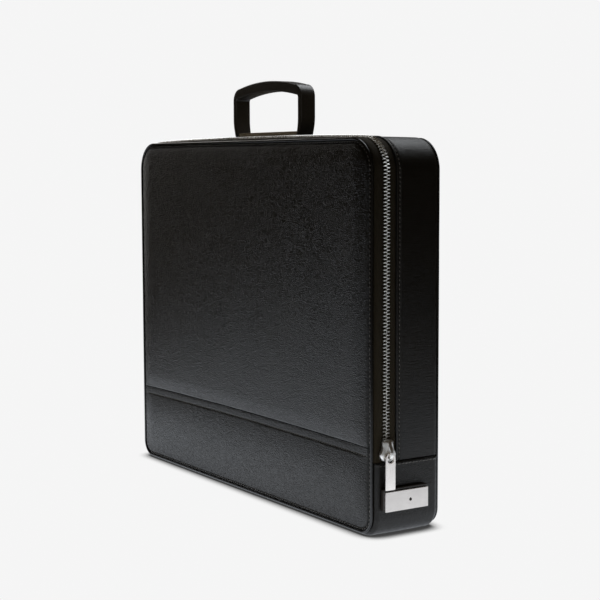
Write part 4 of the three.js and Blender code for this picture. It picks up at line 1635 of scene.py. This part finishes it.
def table_material(stage):
    """The bright table: it fades away from the case, and a painted shade of the case dims it close
    to the case
    """
    material = bpy.data.materials.new("table_light")
    material.use_nodes = True
    tree = material.node_tree
    tree.nodes.clear()
    output = tree.nodes.new("ShaderNodeOutputMaterial")
    glow = tree.nodes.new("ShaderNodeEmission")
    glow.inputs["Color"].default_value = (*stage.table_tint, 1)
    both = tree.nodes.new("ShaderNodeMath")
    both.operation = "MULTIPLY"
    source = tree.nodes.new("ShaderNodeTexCoord").outputs["Object"]
    # Centre and half size of the rectangles that the light and the painted shade spread from
    case_reach = ((0, 0, 0), (HALF_LENGTH, HALF_DEPTH, 0))
    lit_reach = ((-0.22, 0, 0), (0.52, 0.12, 0))
    for centre_and_half, ends, socket in (
            (lit_reach, (stage.table_radius * 0.1, stage.table_radius, stage.table_light, 0), 0),
            (case_reach, (0, stage.table_shade, 0.6, 1), 1)):
        distance = distance_from(tree, source, *centre_and_half)
        fade = tree.nodes.new("ShaderNodeMapRange")
        fade.interpolation_type = "SMOOTHSTEP"
        for name, value in zip(RANGE_ENDS, ends):
            fade.inputs[name].default_value = value
        tree.links.new(distance, fade.inputs["Value"])
        tree.links.new(fade.outputs["Result"], both.inputs[socket])
    tree.links.new(both.outputs["Value"], glow.inputs["Strength"])
    tree.links.new(glow.outputs["Emission"], output.inputs["Surface"])
    return material


def stage_disc(name, radius, height, material, middle_x=0.0):
    """A flat disc that belongs to the stage and not to the case"""
    rim = [(middle_x + radius * across, radius * deep, height) for across, deep in circle(48)]
    mesh = bpy.data.meshes.new(name)
    mesh.from_pydata(rim, [], [tuple(range(len(rim)))])
    mesh.materials.append(material)
    disc = bpy.data.objects.new(name, mesh)
    bpy.context.scene.collection.objects.link(disc)
    return disc


def soft_light(name, place, target, size, energy, color=(1, 1, 1)):
    """A rectangular light in metres and watts that the camera doesn't see"""
    light = bpy.data.lights.new(name, "AREA")
    light.shape = "RECTANGLE"
    light.size = size[0]
    light.size_y = size[1]
    light.energy = energy
    light.color = color
    holder = bpy.data.objects.new(name, light)
    holder.location = place
    holder.rotation_euler = (Vector(target) - Vector(place)).to_track_quat("-Z", "Y").to_euler()
    holder.visible_camera = False
    bpy.context.scene.collection.objects.link(holder)
    return holder


class BRIEFCASE_OT_stage(Operator):
    """Sets the camera, the pale floor, the backdrop and the soft light"""
    bl_idname = "briefcase.stage"
    bl_label = "Stage"

    def execute(self, context):
        scene = context.scene
        stage = scene.briefcase_stage
        lens = bpy.data.cameras.new("view")
        lens.lens = stage.lens
        lens.clip_end = 100
        camera = bpy.data.objects.new("view", lens)
        scene.collection.objects.link(camera)
        ahead = Vector((
            -math.sin(stage.yaw) * math.cos(stage.pitch),
            math.cos(stage.yaw) * math.cos(stage.pitch),
            math.sin(stage.pitch)))
        right = Vector((math.cos(stage.yaw), math.sin(stage.yaw), 0))
        up = right.cross(ahead)
        turned_right = right * math.cos(stage.roll) + up * math.sin(stage.roll)
        turned_up = up * math.cos(stage.roll) - right * math.sin(stage.roll)
        axes = Matrix((turned_right, turned_up, -ahead)).transposed().to_4x4()
        camera.matrix_world = Matrix.Translation(Vector(stage.camera)) @ axes
        scene.camera = camera
        scene.view_settings.view_transform = "Standard"

        floor_radius = 60
        floor = stage_disc("floor", floor_radius, 0, floor_material(stage))
        floor.visible_glossy = False
        floor.visible_diffuse = False
        table_x = -0.03
        under_floor = -1 * MM
        table = stage_disc(
            "bright_table", stage.table_radius, under_floor, table_material(stage), table_x)
        table.visible_camera = False

        world = bpy.data.worlds.new("studio")
        scene.world = world
        world.use_nodes = True
        tree = world.node_tree
        tree.nodes.clear()
        output = tree.nodes.new("ShaderNodeOutputWorld")
        pick = tree.nodes.new("ShaderNodeMixShader")
        path = tree.nodes.new("ShaderNodeLightPath")
        dim_room = (0.03, 0.023, 0.014)
        dim = tree.nodes.new("ShaderNodeBackground")
        dim.inputs["Color"].default_value = (*dim_room, 1)
        pale = tree.nodes.new("ShaderNodeBackground")
        pale.inputs["Color"].default_value = (1, 1, 1, 1)
        pale.inputs["Strength"].default_value = stage.white
        tree.links.new(path.outputs["Is Camera Ray"], pick.inputs[0])
        tree.links.new(dim.outputs[0], pick.inputs[1])
        tree.links.new(pale.outputs[0], pick.inputs[2])
        tree.links.new(pick.outputs[0], output.inputs["Surface"])

        soft_light("overhead", (-0.2, 0.65, 1.6), (0, 0.1, 0.3), (1.1, 1.2), 10, (0.93, 0.965, 1.0))
        soft_light("left", (-2.3, 0.48, 0.7), (0, 0, 0.3), (1.5, 1.5), 8.0, (1.0, 0.98, 0.96))
        soft_light("upper_left", (-2.0, 0.1, 1.5), (0, 0, 0.38), (0.7, 0.5), 1.6, (1.0, 0.96, 0.93))
        soft_light("edge", (2.0, -0.74, 0.3), (0.23, 0, 0.2), (0.6, 1.2), 1.0)
        return {"FINISHED"}


# The panel and the run

STEPS = (
    "briefcase.stage", "briefcase.faces", "briefcase.piping", "briefcase.gusset",
    "briefcase.zip_chain", "briefcase.slider", "briefcase.lock", "briefcase.handle",
    "briefcase.stitches",
)


class BRIEFCASE_PT_panel(Panel):
    """Lists the steps that build the briefcase"""
    bl_label = "Briefcase"
    bl_idname = "BRIEFCASE_PT_panel"
    bl_space_type = "VIEW_3D"
    bl_region_type = "UI"
    bl_category = "Briefcase"

    def draw(self, context):
        for step in STEPS:
            self.layout.operator(step)


SETTINGS = {
    "briefcase_case": CaseSizes,
    "briefcase_stitches": StitchSizes,
    "briefcase_zip": ZipSizes,
    "briefcase_fittings": FittingSizes,
    "briefcase_finishes": Finishes,
    "briefcase_stage": StageSettings,
}

CLASSES = (
    *SETTINGS.values(),
    BRIEFCASE_OT_stage, BRIEFCASE_OT_faces, BRIEFCASE_OT_piping, BRIEFCASE_OT_gusset,
    BRIEFCASE_OT_zip_chain, BRIEFCASE_OT_slider, BRIEFCASE_OT_lock, BRIEFCASE_OT_handle,
    BRIEFCASE_OT_stitches, BRIEFCASE_PT_panel,
)


def register():
    for item in CLASSES:
        bpy.utils.register_class(item)
    for name, kind in SETTINGS.items():
        setattr(bpy.types.Scene, name, PointerProperty(type=kind))


def unregister():
    for name in SETTINGS:
        delattr(bpy.types.Scene, name)
    for item in reversed(CLASSES):
        bpy.utils.unregister_class(item)


def main():
    register()
    for step in STEPS:
        group, name = step.split(".")
        getattr(getattr(bpy.ops, group), name)()


if __name__ == "__main__":
    main()
